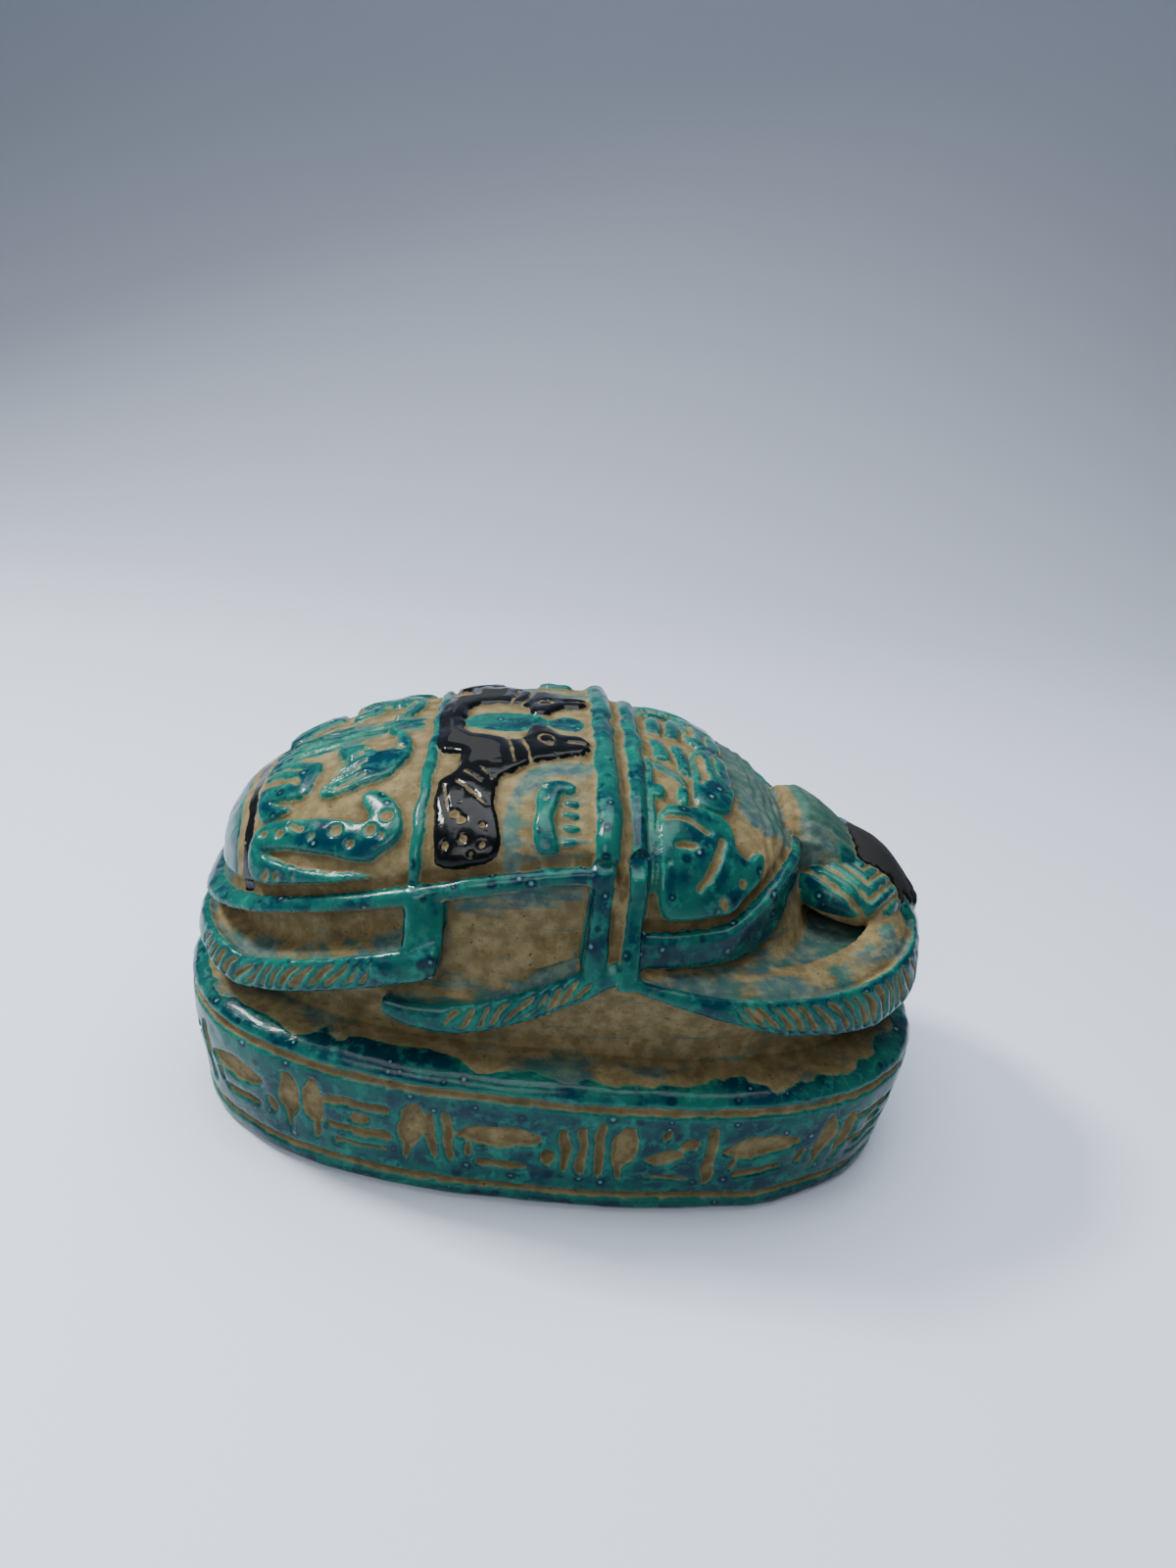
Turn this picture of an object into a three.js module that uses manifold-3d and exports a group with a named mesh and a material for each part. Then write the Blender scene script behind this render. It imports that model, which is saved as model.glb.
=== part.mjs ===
// Scarab amulet: a beetle crouching on an inscribed oval base, carved and glazed as one solid.
// Millimetres, +Z up, +X towards the head. The origin is on the underside, below the middle.
import * as THREE from 'three';
import { mergeVertices } from 'three/addons/utils/BufferGeometryUtils.js';
import Module from 'manifold-3d';

// ---- driving dimensions ----
const baseLength = 140;        // along X, at the edge of the base
const baseWidth = 95.4;        // along Y, midway
const wallTop = 23.6;          // height of the upper line round the base
const wallFoot = 4.1;          // height of the lower line round the base
const shoulderTop = 28.3;      // where the sloping shoulder meets the neck
const topHeight = 74.5;        // crest of the back, over the middle
const corner = 2.6;            // squareness of the oval: 2 is an ellipse
const eggShape = 0.042;        // how much wider the head end is than the tail end
const relief = 1.2;            // height of the carved figures over their ground
const lineDepth = 0.7;         // depth of the lines and strokes round the base
const girthSteps = 44;         // points round each ring

const tailReach = 67;          // rim of the wing cases, back from the middle
const frontReach = 42;         // rim of the thorax, forward from the middle
const rimSide = 42.2;          // half the width over the rim
const rimTail = 42.2;          // height of the rim at the tail
const rimMiddle = 64.2;        // height of the rim at the middle
const rimThorax = 53.3;        // height of the rim beside the thorax
const rimCollar = 60.5;        // height of the rim where it turns across the neck
const ridgeStart = 5.0;        // the rim steps down from wing cases to thorax
const ridgeEnd = 8.5;          // between these two places, under the ridges
const backSquareness = 2.4;    // squareness of the back's cross-section

const glaze = new THREE.MeshStandardMaterial({ color: 0x1f8c88, roughness: 0.3, metalness: 0 });

const wasm = await Module();
wasm.setup();

// ---- small helpers ----
function smoothStep(from, to, x) {
  const t = Math.min(1, Math.max(0, (x - from) / (to - from)));
  return t * t * (3 - 2 * t);
}

function blend(a, b, share) {
  return a + (b - a) * share;
}

// A quarter of a squared-off ellipse: 1 in the middle, 0 at the end of its reach
function quarter(share, power) {
  return Math.pow(Math.max(0, 1 - Math.pow(Math.min(1, Math.abs(share)), power)), 1 / power);
}

// Turns a three.js geometry into a solid, with its faces pointing out
function toSolid(geometry) {
  const net = geometry.clone();
  net.deleteAttribute('normal');
  net.deleteAttribute('uv');
  const merged = mergeVertices(net, 1e-3);
  const places = merged.attributes.position;
  const corners = [];
  const a = new THREE.Vector3();
  const b = new THREE.Vector3();
  const c = new THREE.Vector3();
  let volume = 0;
  for (let i = 0; i < merged.index.count; i += 3) {
    const face = [0, 1, 2].map((k) => merged.index.getX(i + k));
    if (new Set(face).size < 3) continue;
    a.fromBufferAttribute(places, face[0]);
    b.fromBufferAttribute(places, face[1]);
    c.fromBufferAttribute(places, face[2]);
    volume += a.dot(b.cross(c));
    corners.push(...face);
  }
  if (volume < 0) {
    for (let i = 0; i < corners.length; i += 3) {
      [corners[i], corners[i + 1]] = [corners[i + 1], corners[i]];
    }
  }
  return new wasm.Manifold(new wasm.Mesh({
    numProp: 3,
    vertProperties: new Float32Array(places.array),
    triVerts: new Uint32Array(corners),
  }));
}

// Moves every vertex of a geometry by a function of its own place
function reshape(geometry, move) {
  const places = geometry.attributes.position;
  const point = new THREE.Vector3();
  for (let i = 0; i < places.count; i += 1) {
    point.fromBufferAttribute(places, i);
    move(point, i);
    places.setXYZ(i, point.x, point.y, point.z);
  }
  return geometry;
}

function joinAll(solids) {
  return solids.reduce((whole, solid) => whole.add(solid));
}

// The same solid on both sides of the beetle
function onBothSides(solid) {
  return solid.add(solid.mirror([0, 1, 0]));
}

// ---- rings: ovals seen from above, each with its own height ----
// rear, front and side are the reach back, forward and sideways
function ovalPoint(ring, angle) {
  const c = Math.cos(angle);
  const s = Math.sin(angle);
  const reach = c < 0 ? ring.rear : ring.front;
  const power = c < 0 ? corner : ring.frontCorner ?? corner;
  const radius = Math.pow(
    Math.pow(Math.abs(c) / reach, power) + Math.pow(Math.abs(s) / ring.side, power), -1 / power);
  const x = radius * c;
  return [x, radius * s * (1 + eggShape * x / (baseLength / 2))];
}

// Half the width of a ring at a place along X
function sideAt(ring, x) {
  const reach = x < 0 ? ring.rear : ring.front;
  const power = x < 0 ? corner : ring.frontCorner ?? corner;
  return ring.side * (1 + eggShape * x / (baseLength / 2)) * quarter(x / reach, power);
}

function inset(distance, height) {
  const reach = baseLength / 2 - distance;
  return { rear: reach, front: reach, side: baseWidth / 2 - distance, height };
}

function backRing(scale, height, widen = 0) {
  return {
    rear: tailReach * scale + widen,
    front: frontReach * scale + widen,
    side: rimSide * scale + widen,
    frontCorner: 2.5,
    height,
  };
}

// A closed body through a stack of rings, from the middle of the underside to the top
function ringBody(rings, bottom, top) {
  const outline = [new THREE.Vector2(0, 0)];
  rings.forEach((ring, j) => outline.push(new THREE.Vector2(1, j + 1)));
  outline.push(new THREE.Vector2(0, rings.length + 1));
  const net = new THREE.LatheGeometry(outline, girthSteps);
  return toSolid(reshape(net, (point, i) => {
    const j = i % outline.length;
    const turn = Math.floor(i / outline.length) % girthSteps;
    if (j === 0 || j === outline.length - 1) {
      point.set(0, 0, j === 0 ? bottom : top);
      return;
    }
    const ring = rings[j - 1];
    const [x, y] = ovalPoint(ring, turn * 2 * Math.PI / girthSteps);
    const height = typeof ring.height === 'function' ? ring.height(x, y) : ring.height;
    point.set(x, y, height);
  }));
}

// ---- the beetle's surfaces ----
function rimTop(x) {
  const wing = rimMiddle - (rimMiddle - rimTail) * Math.pow(Math.max(0, -x) / tailReach, 1.25);
  const thorax = blend(rimThorax, rimCollar, smoothStep(24, 38, x));
  return blend(wing, thorax, smoothStep(ridgeStart, ridgeEnd, x));
}

function rimLow(x) {
  const wing = rimTop(Math.min(x, 0)) - blend(1.8, 2.6, smoothStep(-60, -30, x));
  const thorax = blend(47.4, 55.4, smoothStep(31, 42, x));
  return blend(wing, thorax, smoothStep(ridgeStart, ridgeEnd, x));
}

function crest(x) {
  if (x < 0) return blend(rimTail, topHeight, quarter(x / tailReach, 2.2));
  return blend(52, topHeight, quarter(x / (frontReach + 2), 2));
}

function backHeight(x, y) {
  const power = x < 0 ? corner : 2.5;
  const reach = x < 0 ? tailReach : frontReach;
  const halfWidth = rimSide * (1 + eggShape * x / (baseLength / 2)) * quarter(x / reach, power);
  const rise = Math.max(0, crest(x) - rimTop(x));
  return rimTop(x) + rise * quarter(y / Math.max(halfWidth, 0.01), backSquareness);
}

// Top of the ledge that the legs lie on
function ledge(x) {
  const meeting = 3 * Math.exp(-Math.pow((x - 9) / 7, 2));
  return Math.min(44, 42 + 0.115 * x) + meeting;
}

function bodyFoot(x) {
  return Math.min(ledge(x) + 3 * (1 - smoothStep(25, 40, x)), rimLow(x) - 2);
}

// ---- base, neck, body wall and rim in one stack; its top lies hidden under the back ----
function bodySolid() {
  const rings = [
    inset(4.8, 0),
    inset(3.3, 1.1),
    inset(2.9, wallFoot - 0.5),
    inset(2.9 + lineDepth, wallFoot),
    inset(2.7, wallFoot + 0.5),
    inset(1.0, (wallFoot + wallTop) / 2),
    inset(0, wallTop - 0.5),
    inset(lineDepth, wallTop),
    inset(0, wallTop + 0.5),
    inset(1.6, wallTop + 3),
    inset(9.2, shoulderTop),
    inset(9.6, shoulderTop + 1.7),
    inset(5.8, (x) => ledge(x) - 1.2),
    inset(6.4, ledge),
    { rear: 61, front: 46, side: 39.2, height: bodyFoot },
    { rear: 62, front: 42, side: 39.4, frontCorner: 2.5, height: (x) => rimLow(x) - 1 },
    backRing(1, rimLow, 0.5),
    backRing(0.992, rimTop),
    backRing(0.93, (x) => rimTop(x) - 1),
    backRing(0.5, (x, y) => backHeight(x, y) - 7),
  ];
  return ringBody(rings, 0, topHeight - 7);
}

// ---- the back: cross-sections from tail to neck, some standing proud as strips ----
// Each section is [place along X, share of the relief height]
const backSections = [
  [-64, 0], [-59, 0], [-51, 0], [-42, 0], [-34, 0],
  [-27.8, 0], [-27.4, 1], [-25.4, 1], [-25, 0], [-14, 0], [-5, 0],
  [1.5, 0], [2, 1], [5.2, 1], [5.6, 0], [7.3, 0], [7.7, 1], [10.4, 1], [10.8, 0],
  [18, 0], [26, 0], [33, 0], [39.2, 0],
];
const limitSections = [-64, -60, -52, -40, -26, -11, 3, 15, 25, 33, 39.5];

function backSolid(sections, stepsOver, lift) {
  const stepsUnder = 4;
  const steps = stepsOver + stepsUnder;
  const [tail, front] = [-tailReach * 0.965, frontReach * 0.965];
  const profile = [new THREE.Vector2(0, 0)];
  sections.forEach((section, j) => profile.push(new THREE.Vector2(1, j + 1)));
  profile.push(new THREE.Vector2(0, sections.length + 1));
  const net = new THREE.LatheGeometry(profile, steps);
  return toSolid(reshape(net, (point, i) => {
    const j = i % profile.length;
    const turn = Math.floor(i / profile.length) % steps;
    if (j === 0 || j === profile.length - 1) {
      const tip = j === 0 ? tail : front;
      point.set(tip, 0, rimTop(tip));
      return;
    }
    const [x, proud] = sections[j - 1];
    const rise = relief * proud + lift;
    const angle = turn <= stepsOver
      ? Math.PI * (turn / stepsOver - 0.5)
      : Math.PI * (0.5 + (turn - stepsOver) / stepsUnder);
    const power = x < 0 ? corner : 2.5;
    const reach = x < 0 ? tail : front;
    const halfWidth = 0.955 * rimSide * (1 + eggShape * x / (baseLength / 2)) * quarter(x / reach, power);
    const roof = Math.max(1, crest(x) - rimTop(x) - relief / 2) + rise;
    const up = Math.cos(angle);
    const side = Math.sin(angle);
    const height = up > 0 ? roof * Math.pow(up, 2 / backSquareness) : 6 * up;
    point.set(x, (halfWidth + rise) * Math.sign(side) * Math.pow(Math.abs(side), 2 / backSquareness),
      rimTop(x) + height);
  }));
}

// A post standing against the side of the body, from the legs up to the rim
function sidePost(from, to, top, bottom, setBack = 0) {
  const middle = (from + to) / 2;
  const rimPlace = -sideAt(backRing(1, 0, -0.2), middle);
  const legPlace = -sideAt(inset(1.6, 0), middle);
  const post = new THREE.BoxGeometry(to - from, 2, 2);
  return toSolid(reshape(post, (point) => {
    const high = point.z > 0;
    const outer = point.y < 0;
    const place = high ? rimPlace : legPlace;
    point.set(middle + point.x, outer ? place + setBack : -30, high ? top : bottom);
  }));
}

// ---- legs: bands swept round the outline, with slanting cuts ----
// A leg with no start or end of its own meets the other side's at the tail or the head
const overlap = 0.04;
const legs = {
  rear: {
    from: null, to: -21.6, overhang: 1.4, cuts: 12, cutFrom: -64, cutTo: -31, slant: 1.6,
    lower: (x) => 32 + 0.36 * Math.max(0, x + 56), band: () => 5.3,
  },
  middle: {
    from: -31, to: 9.5, overhang: 2.8, cuts: 8, cutFrom: -20, cutTo: 5, slant: 1.5,
    lower: (x) => (x < -22 ? 33 + 0.03 * (x + 22) ** 2 : 33 + 14.4 * ((x + 22) / 31) ** 1.8),
    band: (x) => 1 + 4.4 * quarter((x + 11) / 21, 2),
  },
  front: {
    from: 10.5, to: null, overhang: 1.8, cuts: 12, cutFrom: 30, cutTo: 63, slant: -2.6,
    lower: (x) => 35.6 + 9.6 * (Math.max(0, 58 - x) / 47) ** 1.9,
    band: (x) => 1.2 + 0.17 * (x - 10),
  },
};

// The polar angle at which the near side of the outline passes x
function angleAt(x) {
  let low = -Math.PI;
  let high = 0;
  for (let i = 0; i < 40; i += 1) {
    const middle = (low + high) / 2;
    if (ovalPoint(inset(2, 0), middle)[0] < x) low = middle;
    else high = middle;
  }
  return (low + high) / 2;
}

function legSolid(leg) {
  const section = new THREE.Shape([
    [0, 0], [1.3, 1], [2.3, 0.93], [9, 1.25], [9, -0.1], [2, -0.18],
  ].map(([depth, share]) => new THREE.Vector2(depth, share)));
  const steps = 9;
  const band = new THREE.ExtrudeGeometry(section, { depth: 1, steps, bevelEnabled: false });
  const start = leg.from === null ? -Math.PI - overlap : angleAt(leg.from);
  const end = leg.to === null ? overlap : angleAt(leg.to);
  return toSolid(reshape(band, (point) => {
    const angle = blend(start, end, point.z);
    const [x, y] = ovalPoint(inset(leg.overhang + point.x, 0), angle);
    const [outerX] = ovalPoint(inset(leg.overhang, 0), angle);
    point.set(x, y, leg.lower(outerX) + point.y * leg.band(outerX));
  }));
}

// A thin wedge cut across the lower band of a leg, leaning along the band
function legCuts(leg) {
  const cuts = [];
  for (let i = 0; i < leg.cuts; i += 1) {
    const x = blend(leg.cutFrom, leg.cutTo, i / (leg.cuts - 1));
    const angle = angleAt(x);
    const [px, py] = ovalPoint(inset(leg.overhang, 0), angle);
    const [qx, qy] = ovalPoint(inset(leg.overhang, 0), angle + 0.02);
    const height = leg.band(px) * 0.8;
    const wedge = new THREE.CylinderGeometry(0.95, 0.95, height, 3, 1);
    wedge.rotateY(Math.PI);
    wedge.rotateX(Math.PI / 2);
    wedge.rotateY(Math.atan2(leg.slant, height));
    wedge.rotateZ(Math.atan2(qy - py, qx - px));
    wedge.translate(px, py, leg.lower(px) + leg.band(px) * 0.48);
    cuts.push(toSolid(wedge));
  }
  return joinAll(cuts);
}

// ---- relief: outlines drawn on a plane that leans over one side of the back ----
// across runs along X; down runs from the crest towards the rim
const lean = Math.PI / 4;
const leanHeight = 60;

function raised(outline) {
  const block = new THREE.ExtrudeGeometry(outline, { depth: 45, bevelEnabled: false });
  return toSolid(reshape(block, (point) => {
    const [x, down, out] = [point.x, point.y, point.z + 4];
    point.set(x, -(down * Math.cos(lean) + out * Math.sin(lean)),
      leanHeight - down * Math.sin(lean) + out * Math.cos(lean));
  }));
}

function polygon(points) {
  return new THREE.Shape(points.map(([x, down]) => new THREE.Vector2(x, down)));
}

function rounded(points, steps) {
  const knots = points.map(([x, down]) => new THREE.Vector2(x, down));
  const curve = new THREE.SplineCurve([...knots, knots[0]]);
  return new THREE.Shape(curve.getPoints(steps).slice(0, -1));
}

function bar(x1, down1, x2, down2) {
  return polygon([[x1, down1], [x2, down1], [x2, down2], [x1, down2]]);
}

// Two birds face each other across the crest: one side of them
function birdFigure() {
  const wing = [[-25.2, -9], [-21.6, -9], [-21.4, -3.4], [-10.5, -2]];
  const head = [[-8.6, -8], [-6, -7.2], [-3.6, -3.6], [0.6, -3.4], [0.6, 1.2]];
  const breast = [[-8.5, 5], [-15.2, 12]];
  const underside = [[-24.4, 11.5], [-21.4, 6], [-21.4, 2.8], [-25.2, 2.8]];
  return raised(polygon([...wing, ...head, ...breast, ...underside]));
}

function birdBody() {
  return raised(rounded([
    [-24.2, 12], [-19, 8.5], [-15.3, 11.5], [-15, 17], [-13.3, 21], [-14.4, 26], [-19, 27],
    [-23.3, 26.6], [-24, 20],
  ], 12));
}

function combPanel() {
  const teeth = [0, 1, 2].map((i) => raised(bar(-5, 14.4 + 3.8 * i, -1.2, 16.6 + 3.8 * i)));
  return joinAll([raised(bar(-7.8, 10.8, -4.9, 26)), raised(bar(-5, 10.8, -1.2, 12.4)), ...teeth]);
}

function lobedFigure() {
  return raised(rounded([
    [-54.6, 23], [-53.4, 18.4], [-47, 17.4], [-39, 19], [-34.6, 20], [-34.6, 17.2], [-37.4, 14.6],
    [-33.6, 13.2], [-29.6, 18], [-29.8, 23], [-34.5, 25.5], [-42, 24], [-50.5, 22],
    [-41, 26.4], [-31, 27.7], [-31, 28.9], [-41, 28.7], [-51.5, 27],
  ], 21));
}

function smallBird() {
  return raised(polygon([
    [-44.8, 13.6], [-40, 4], [-40.3, 1.2], [-36.2, 2.4], [-33.6, -3.6], [-31, -1.6], [-30.5, 4],
    [-33, 9.6], [-40, 12.6],
  ]));
}

function steppedBlock() {
  return raised(polygon([
    [-55.4, 10], [-54.4, 3], [-46.8, 4.2], [-45.8, 11.8], [-50.6, 12.2], [-48.8, 14.8],
    [-52, 15.8], [-54.8, 15.6],
  ]));
}

function thoraxLobe() {
  return raised(rounded([
    [11.6, 13.5], [17, 11.4], [23, 12.2], [26.4, 18.2], [30.6, 19.6], [28, 25], [23, 29],
    [14.6, 30.8], [11.8, 26],
  ], 13));
}

function thoraxPanels() {
  const brow = rounded([
    [20.2, -6], [24, -7.6], [26.8, -3], [26.8, 4], [24.4, 10.2], [19.2, 9.6], [18.4, 2],
  ], 11);
  return joinAll([
    raised(brow),
    raised(bar(12.2, -7, 14.8, 0)),
    raised(bar(16, -6, 18, -0.5)),
    raised(bar(15, 2.4, 17.2, 10)),
  ]);
}

function backRelief() {
  const figures = joinAll([
    birdFigure(), birdBody(), combPanel(), lobedFigure(), smallBird(), steppedBlock(),
    thoraxLobe(), thoraxPanels(),
  ]);
  const limit = backSolid(limitSections.map((x) => [x, 0]), 12, relief);
  return onBothSides(figures.intersect(limit));
}

function sidePosts() {
  return onBothSides(joinAll([
    sidePost(-27.4, -21.4, rimTop(-24) - 0.6, 41.5),
    sidePost(1.8, 5.4, rimTop(3) - 0.5, 42),
    sidePost(7.5, 10.6, rimTop(3) - 1.5, 43),
    sidePost(5.2, 7.7, rimTop(3) - 2.5, 42.5, 1.2),
  ]));
}

// ---- head: domed wedge, eye lobes with nested grooves, and the toothed plate ----
function headSolid() {
  const arch = new THREE.Shape();
  arch.moveTo(-12, 0);
  arch.lineTo(12, 0);
  arch.lineTo(12, 0.7);
  arch.quadraticCurveTo(7, 1, 0, 1);
  arch.quadraticCurveTo(-7, 1, -12, 0.7);
  const block = new THREE.ExtrudeGeometry(arch, {
    depth: 1, steps: 4, curveSegments: 3, bevelEnabled: false,
  });
  return toSolid(reshape(block, (point) => {
    const along = point.z;
    const x = blend(39.4, 53.4, along);
    const roof = blend(65.3, 57.4, Math.pow(along, 1.8)) - 1.6 * Math.exp(-along * 12);
    const floor = blend(43, 48, along);
    point.set(x, point.x, blend(floor, roof, point.y));
  }));
}

// A shell beside the head, with two grooves running round it
function eyeLobe() {
  const shell = new THREE.LatheGeometry([
    [0, 1], [0.4, 0.93], [0.45, 0.83], [0.52, 0.87], [0.7, 0.72], [0.74, 0.6],
    [0.81, 0.61], [1, 0.12], [0.9, -0.2], [0, -0.2],
  ].map(([radius, out]) => new THREE.Vector2(radius, out)), 11);
  shell.scale(10.6, 9.4, 6);
  shell.rotateX(-Math.PI / 2);
  shell.scale(1, -1, 1);
  shell.rotateX(Math.PI);
  shell.rotateY(0.16);
  shell.translate(52, -11.2, 49.6);
  return toSolid(shell);
}

function toothedPlate() {
  const teeth = 9;
  const points = [[48, -11.5], [60, -12.6]];
  for (let i = 0; i <= 2 * teeth; i += 1) {
    const turn = blend(-1.05, 1.05, i / (2 * teeth));
    const radius = i % 2 ? 13.6 : 15.2;
    points.push([54.4 + radius * Math.cos(turn), 0.98 * radius * Math.sin(turn)]);
  }
  points.push([60, 12.6], [48, 11.5]);
  const plate = new THREE.ExtrudeGeometry(polygon(points), { depth: 1, steps: 1, bevelEnabled: false });
  return toSolid(reshape(plate, (point) => {
    const fall = 10.5 * Math.pow(Math.max(0, point.x - 53) / 16, 2);
    const slope = 0.026 * point.y * point.y;
    point.z = 57.6 - fall - slope - 6 * (1 - point.z);
  }));
}

// ---- inscription: rows of plain strokes sunk in the wall of the base ----
function wallFrame(angle) {
  const ring = inset(1.1, 0);
  const [x, y] = ovalPoint(ring, angle);
  const [nextX, nextY] = ovalPoint(ring, angle + 0.01);
  const [lastX, lastY] = ovalPoint(ring, angle - 0.01);
  return { x, y, turn: Math.atan2(nextY - lastY, nextX - lastX) };
}

function stroke(angle, along, height, outline) {
  const cut = new THREE.ExtrudeGeometry(outline, { depth: 3, bevelEnabled: false });
  const { x, y, turn } = wallFrame(angle);
  cut.rotateX(Math.PI / 2 - 0.09);
  cut.translate(along, lineDepth + 0.35, height);
  cut.rotateZ(turn);
  cut.translate(x, y, 0);
  return toSolid(cut);
}

const leaf = polygon([[0, -4.6], [1.5, -1], [0.6, 4.2], [-0.6, 4.2], [-1.5, -1]]);
const upright = polygon([[-0.7, -4.4], [0.7, -4.4], [0.7, 4.4], [-0.7, 4.4]]);
const level = polygon([[-3.4, -0.8], [3.4, -0.8], [3.4, 0.8], [-3.4, 0.8]]);
const diamond = polygon([[0, -2.6], [2.2, 0], [0, 2.6], [-2.2, 0]]);
const hook = polygon([
  [-0.7, -5], [0.7, -5], [0.7, 3], [3, 3], [3, 4.4], [-0.7, 4.4],
]);

function inscription() {
  const signs = [leaf, upright, level, diamond, leaf, hook, upright, leaf, level];
  const places = 32;
  const middle = (wallFoot + wallTop) / 2;
  const cuts = [];
  for (let i = 0; i < places; i += 1) {
    const angle = 2 * Math.PI * (i + 0.5) / places;
    const sign = signs[(i * 5) % signs.length];
    const shift = sign === level ? (i % 2 ? 3 : -3) : 0;
    cuts.push(stroke(angle, 0, middle + shift, sign));
  }
  return joinAll(cuts);
}

// ---- assembly ----
const legBands = joinAll(Object.values(legs).map(legSolid));
const legLines = joinAll(Object.values(legs).map(legCuts));
const beetle = bodySolid()
  .add(onBothSides(legBands.subtract(legLines)))
  .add(backSolid(backSections, 12, 0))
  .add(backRelief())
  .add(sidePosts())
  .add(headSolid())
  .add(onBothSides(eyeLobe()))
  .add(toothedPlate());
const finished = beetle.subtract(inscription());

function toMesh(solid, name, material) {
  const mesh = solid.getMesh();
  const geometry = new THREE.BufferGeometry();
  geometry.setAttribute('position', new THREE.BufferAttribute(new Float32Array(mesh.vertProperties), 3));
  geometry.setIndex(new THREE.BufferAttribute(new Uint32Array(mesh.triVerts), 1));
  const part = new THREE.Mesh(geometry, material);
  part.name = name;
  return part;
}

const group = new THREE.Group();
group.add(toMesh(finished, 'scarab', glaze));

export default group;
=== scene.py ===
# Scarab amulet: a carved beetle with a worn turquoise glaze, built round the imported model
import math

import bmesh
import bpy
import numpy as np
from mathutils import Matrix, Vector
from mathutils.bvhtree import BVHTree


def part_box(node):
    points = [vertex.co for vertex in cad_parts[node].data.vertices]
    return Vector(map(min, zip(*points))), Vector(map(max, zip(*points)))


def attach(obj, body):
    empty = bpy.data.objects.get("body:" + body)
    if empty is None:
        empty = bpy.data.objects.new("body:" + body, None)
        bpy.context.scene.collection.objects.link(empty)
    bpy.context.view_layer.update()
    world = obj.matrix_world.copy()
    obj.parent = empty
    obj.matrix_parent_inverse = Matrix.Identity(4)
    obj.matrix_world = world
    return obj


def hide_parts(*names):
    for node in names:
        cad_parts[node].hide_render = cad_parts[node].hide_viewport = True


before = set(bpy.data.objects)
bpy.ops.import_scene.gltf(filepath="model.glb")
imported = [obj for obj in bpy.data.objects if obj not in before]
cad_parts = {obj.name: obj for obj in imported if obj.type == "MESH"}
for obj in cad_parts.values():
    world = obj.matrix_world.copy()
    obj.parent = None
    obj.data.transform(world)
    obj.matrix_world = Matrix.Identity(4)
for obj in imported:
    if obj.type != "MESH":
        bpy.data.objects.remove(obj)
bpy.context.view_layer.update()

lowest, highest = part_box("scarab")
mm = (highest[0] - lowest[0]) / 140   # one millimetre of the carving in the scene's metres
print("frame loaded, one millimetre is", round(mm, 6))


# a piece in the scene from its data, and the mesh that a piece's modifiers make of it

def placed(name, data):
    piece = bpy.data.objects.new(name, data)
    bpy.context.scene.collection.objects.link(piece)
    return piece


def modified(piece):
    shown = piece.evaluated_get(bpy.context.evaluated_depsgraph_get())
    mesh = bpy.data.meshes.new_from_object(shown)
    before = piece.data
    bpy.data.objects.remove(piece)
    bpy.data.meshes.remove(before)
    return mesh


# small number helpers, for single values and for arrays alike

def ease(start, end, x):
    t = np.clip((x - start) / (end - start), 0, 1)
    return t * t * (3 - 2 * t)


def between(a, b, share):
    return a + (b - a) * share


def quarter(share, power):
    return np.maximum(0, 1 - np.minimum(1, np.abs(share)) ** power) ** (1 / power)


waveCount = 22


def waves(points, size, seed):
    # smooth hand-made unevenness between about -1 and 1, with bumps of the given size
    chance = np.random.default_rng(seed)
    total = np.zeros(len(points))
    for _ in range(waveCount):
        way = chance.normal(size=3)
        way *= (2 * math.pi / size) * chance.uniform(0.6, 1.4) / np.linalg.norm(way)
        total += np.sin(points @ way + chance.uniform(0, 2 * math.pi))
    return total / math.sqrt(waveCount) * 1.2


def clouds(points, size, seed, octaves=4):
    return sum(waves(points, size / 2 ** i, seed + i) / 1.7 ** i for i in range(octaves)) / 1.3


# the base: ovals seen from above, in millimetres

base = {
    "halfLength": 70, "halfWidth": 47.7, "corner": 2.6, "frontCorner": 2.5, "egg": 0.042,
    "wallFoot": 4.1, "wallTop": 23.6, "shoulderTop": 28.3, "lineDepth": 0.85, "lineHalf": 0.78,
    "girthSteps": 240,
}

back = {
    "tail": 67, "front": 42, "side": 42.2, "top": 74.5, "square": 2.4,
    "rimTail": 42.2, "rimMiddle": 64.2, "rimThorax": 53.3, "rimCollar": 60.5,
    "sunk": 0.6, "channel": 1.15,
}


def inset(distance, height=0):
    reach = base["halfLength"] - distance
    return {"rear": reach, "front": reach, "side": base["halfWidth"] - distance, "height": height}


def backRing(scale, height, widen=0):
    return {
        "rear": back["tail"] * scale + widen, "front": back["front"] * scale + widen,
        "side": back["side"] * scale + widen, "frontCorner": base["frontCorner"], "height": height,
    }


def eggWidth(x):
    return 1 + base["egg"] * x / base["halfLength"]


def ovalPoint(ring, angle):
    c, s = np.cos(angle), np.sin(angle)
    reach = np.where(c < 0, ring["rear"], ring["front"])
    power = np.where(c < 0, base["corner"], ring.get("frontCorner", base["corner"]))
    radius = ((np.abs(c) / reach) ** power + (np.abs(s) / ring["side"]) ** power) ** (-1 / power)
    x = radius * c
    return x, radius * s * eggWidth(x)


def sideAt(ring, x):
    reach = ring["rear"] if x < 0 else ring["front"]
    power = base["corner"] if x < 0 else ring.get("frontCorner", base["corner"])
    return ring["side"] * eggWidth(x) * quarter(x / reach, power)


def rimTop(x):
    wing = back["rimMiddle"] - (back["rimMiddle"] - back["rimTail"]) * (
        np.maximum(0, -x) / back["tail"]) ** 1.25
    thorax = between(back["rimThorax"], back["rimCollar"], ease(24, 38, x))
    return between(wing, thorax, ease(5, 8.5, x))


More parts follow.
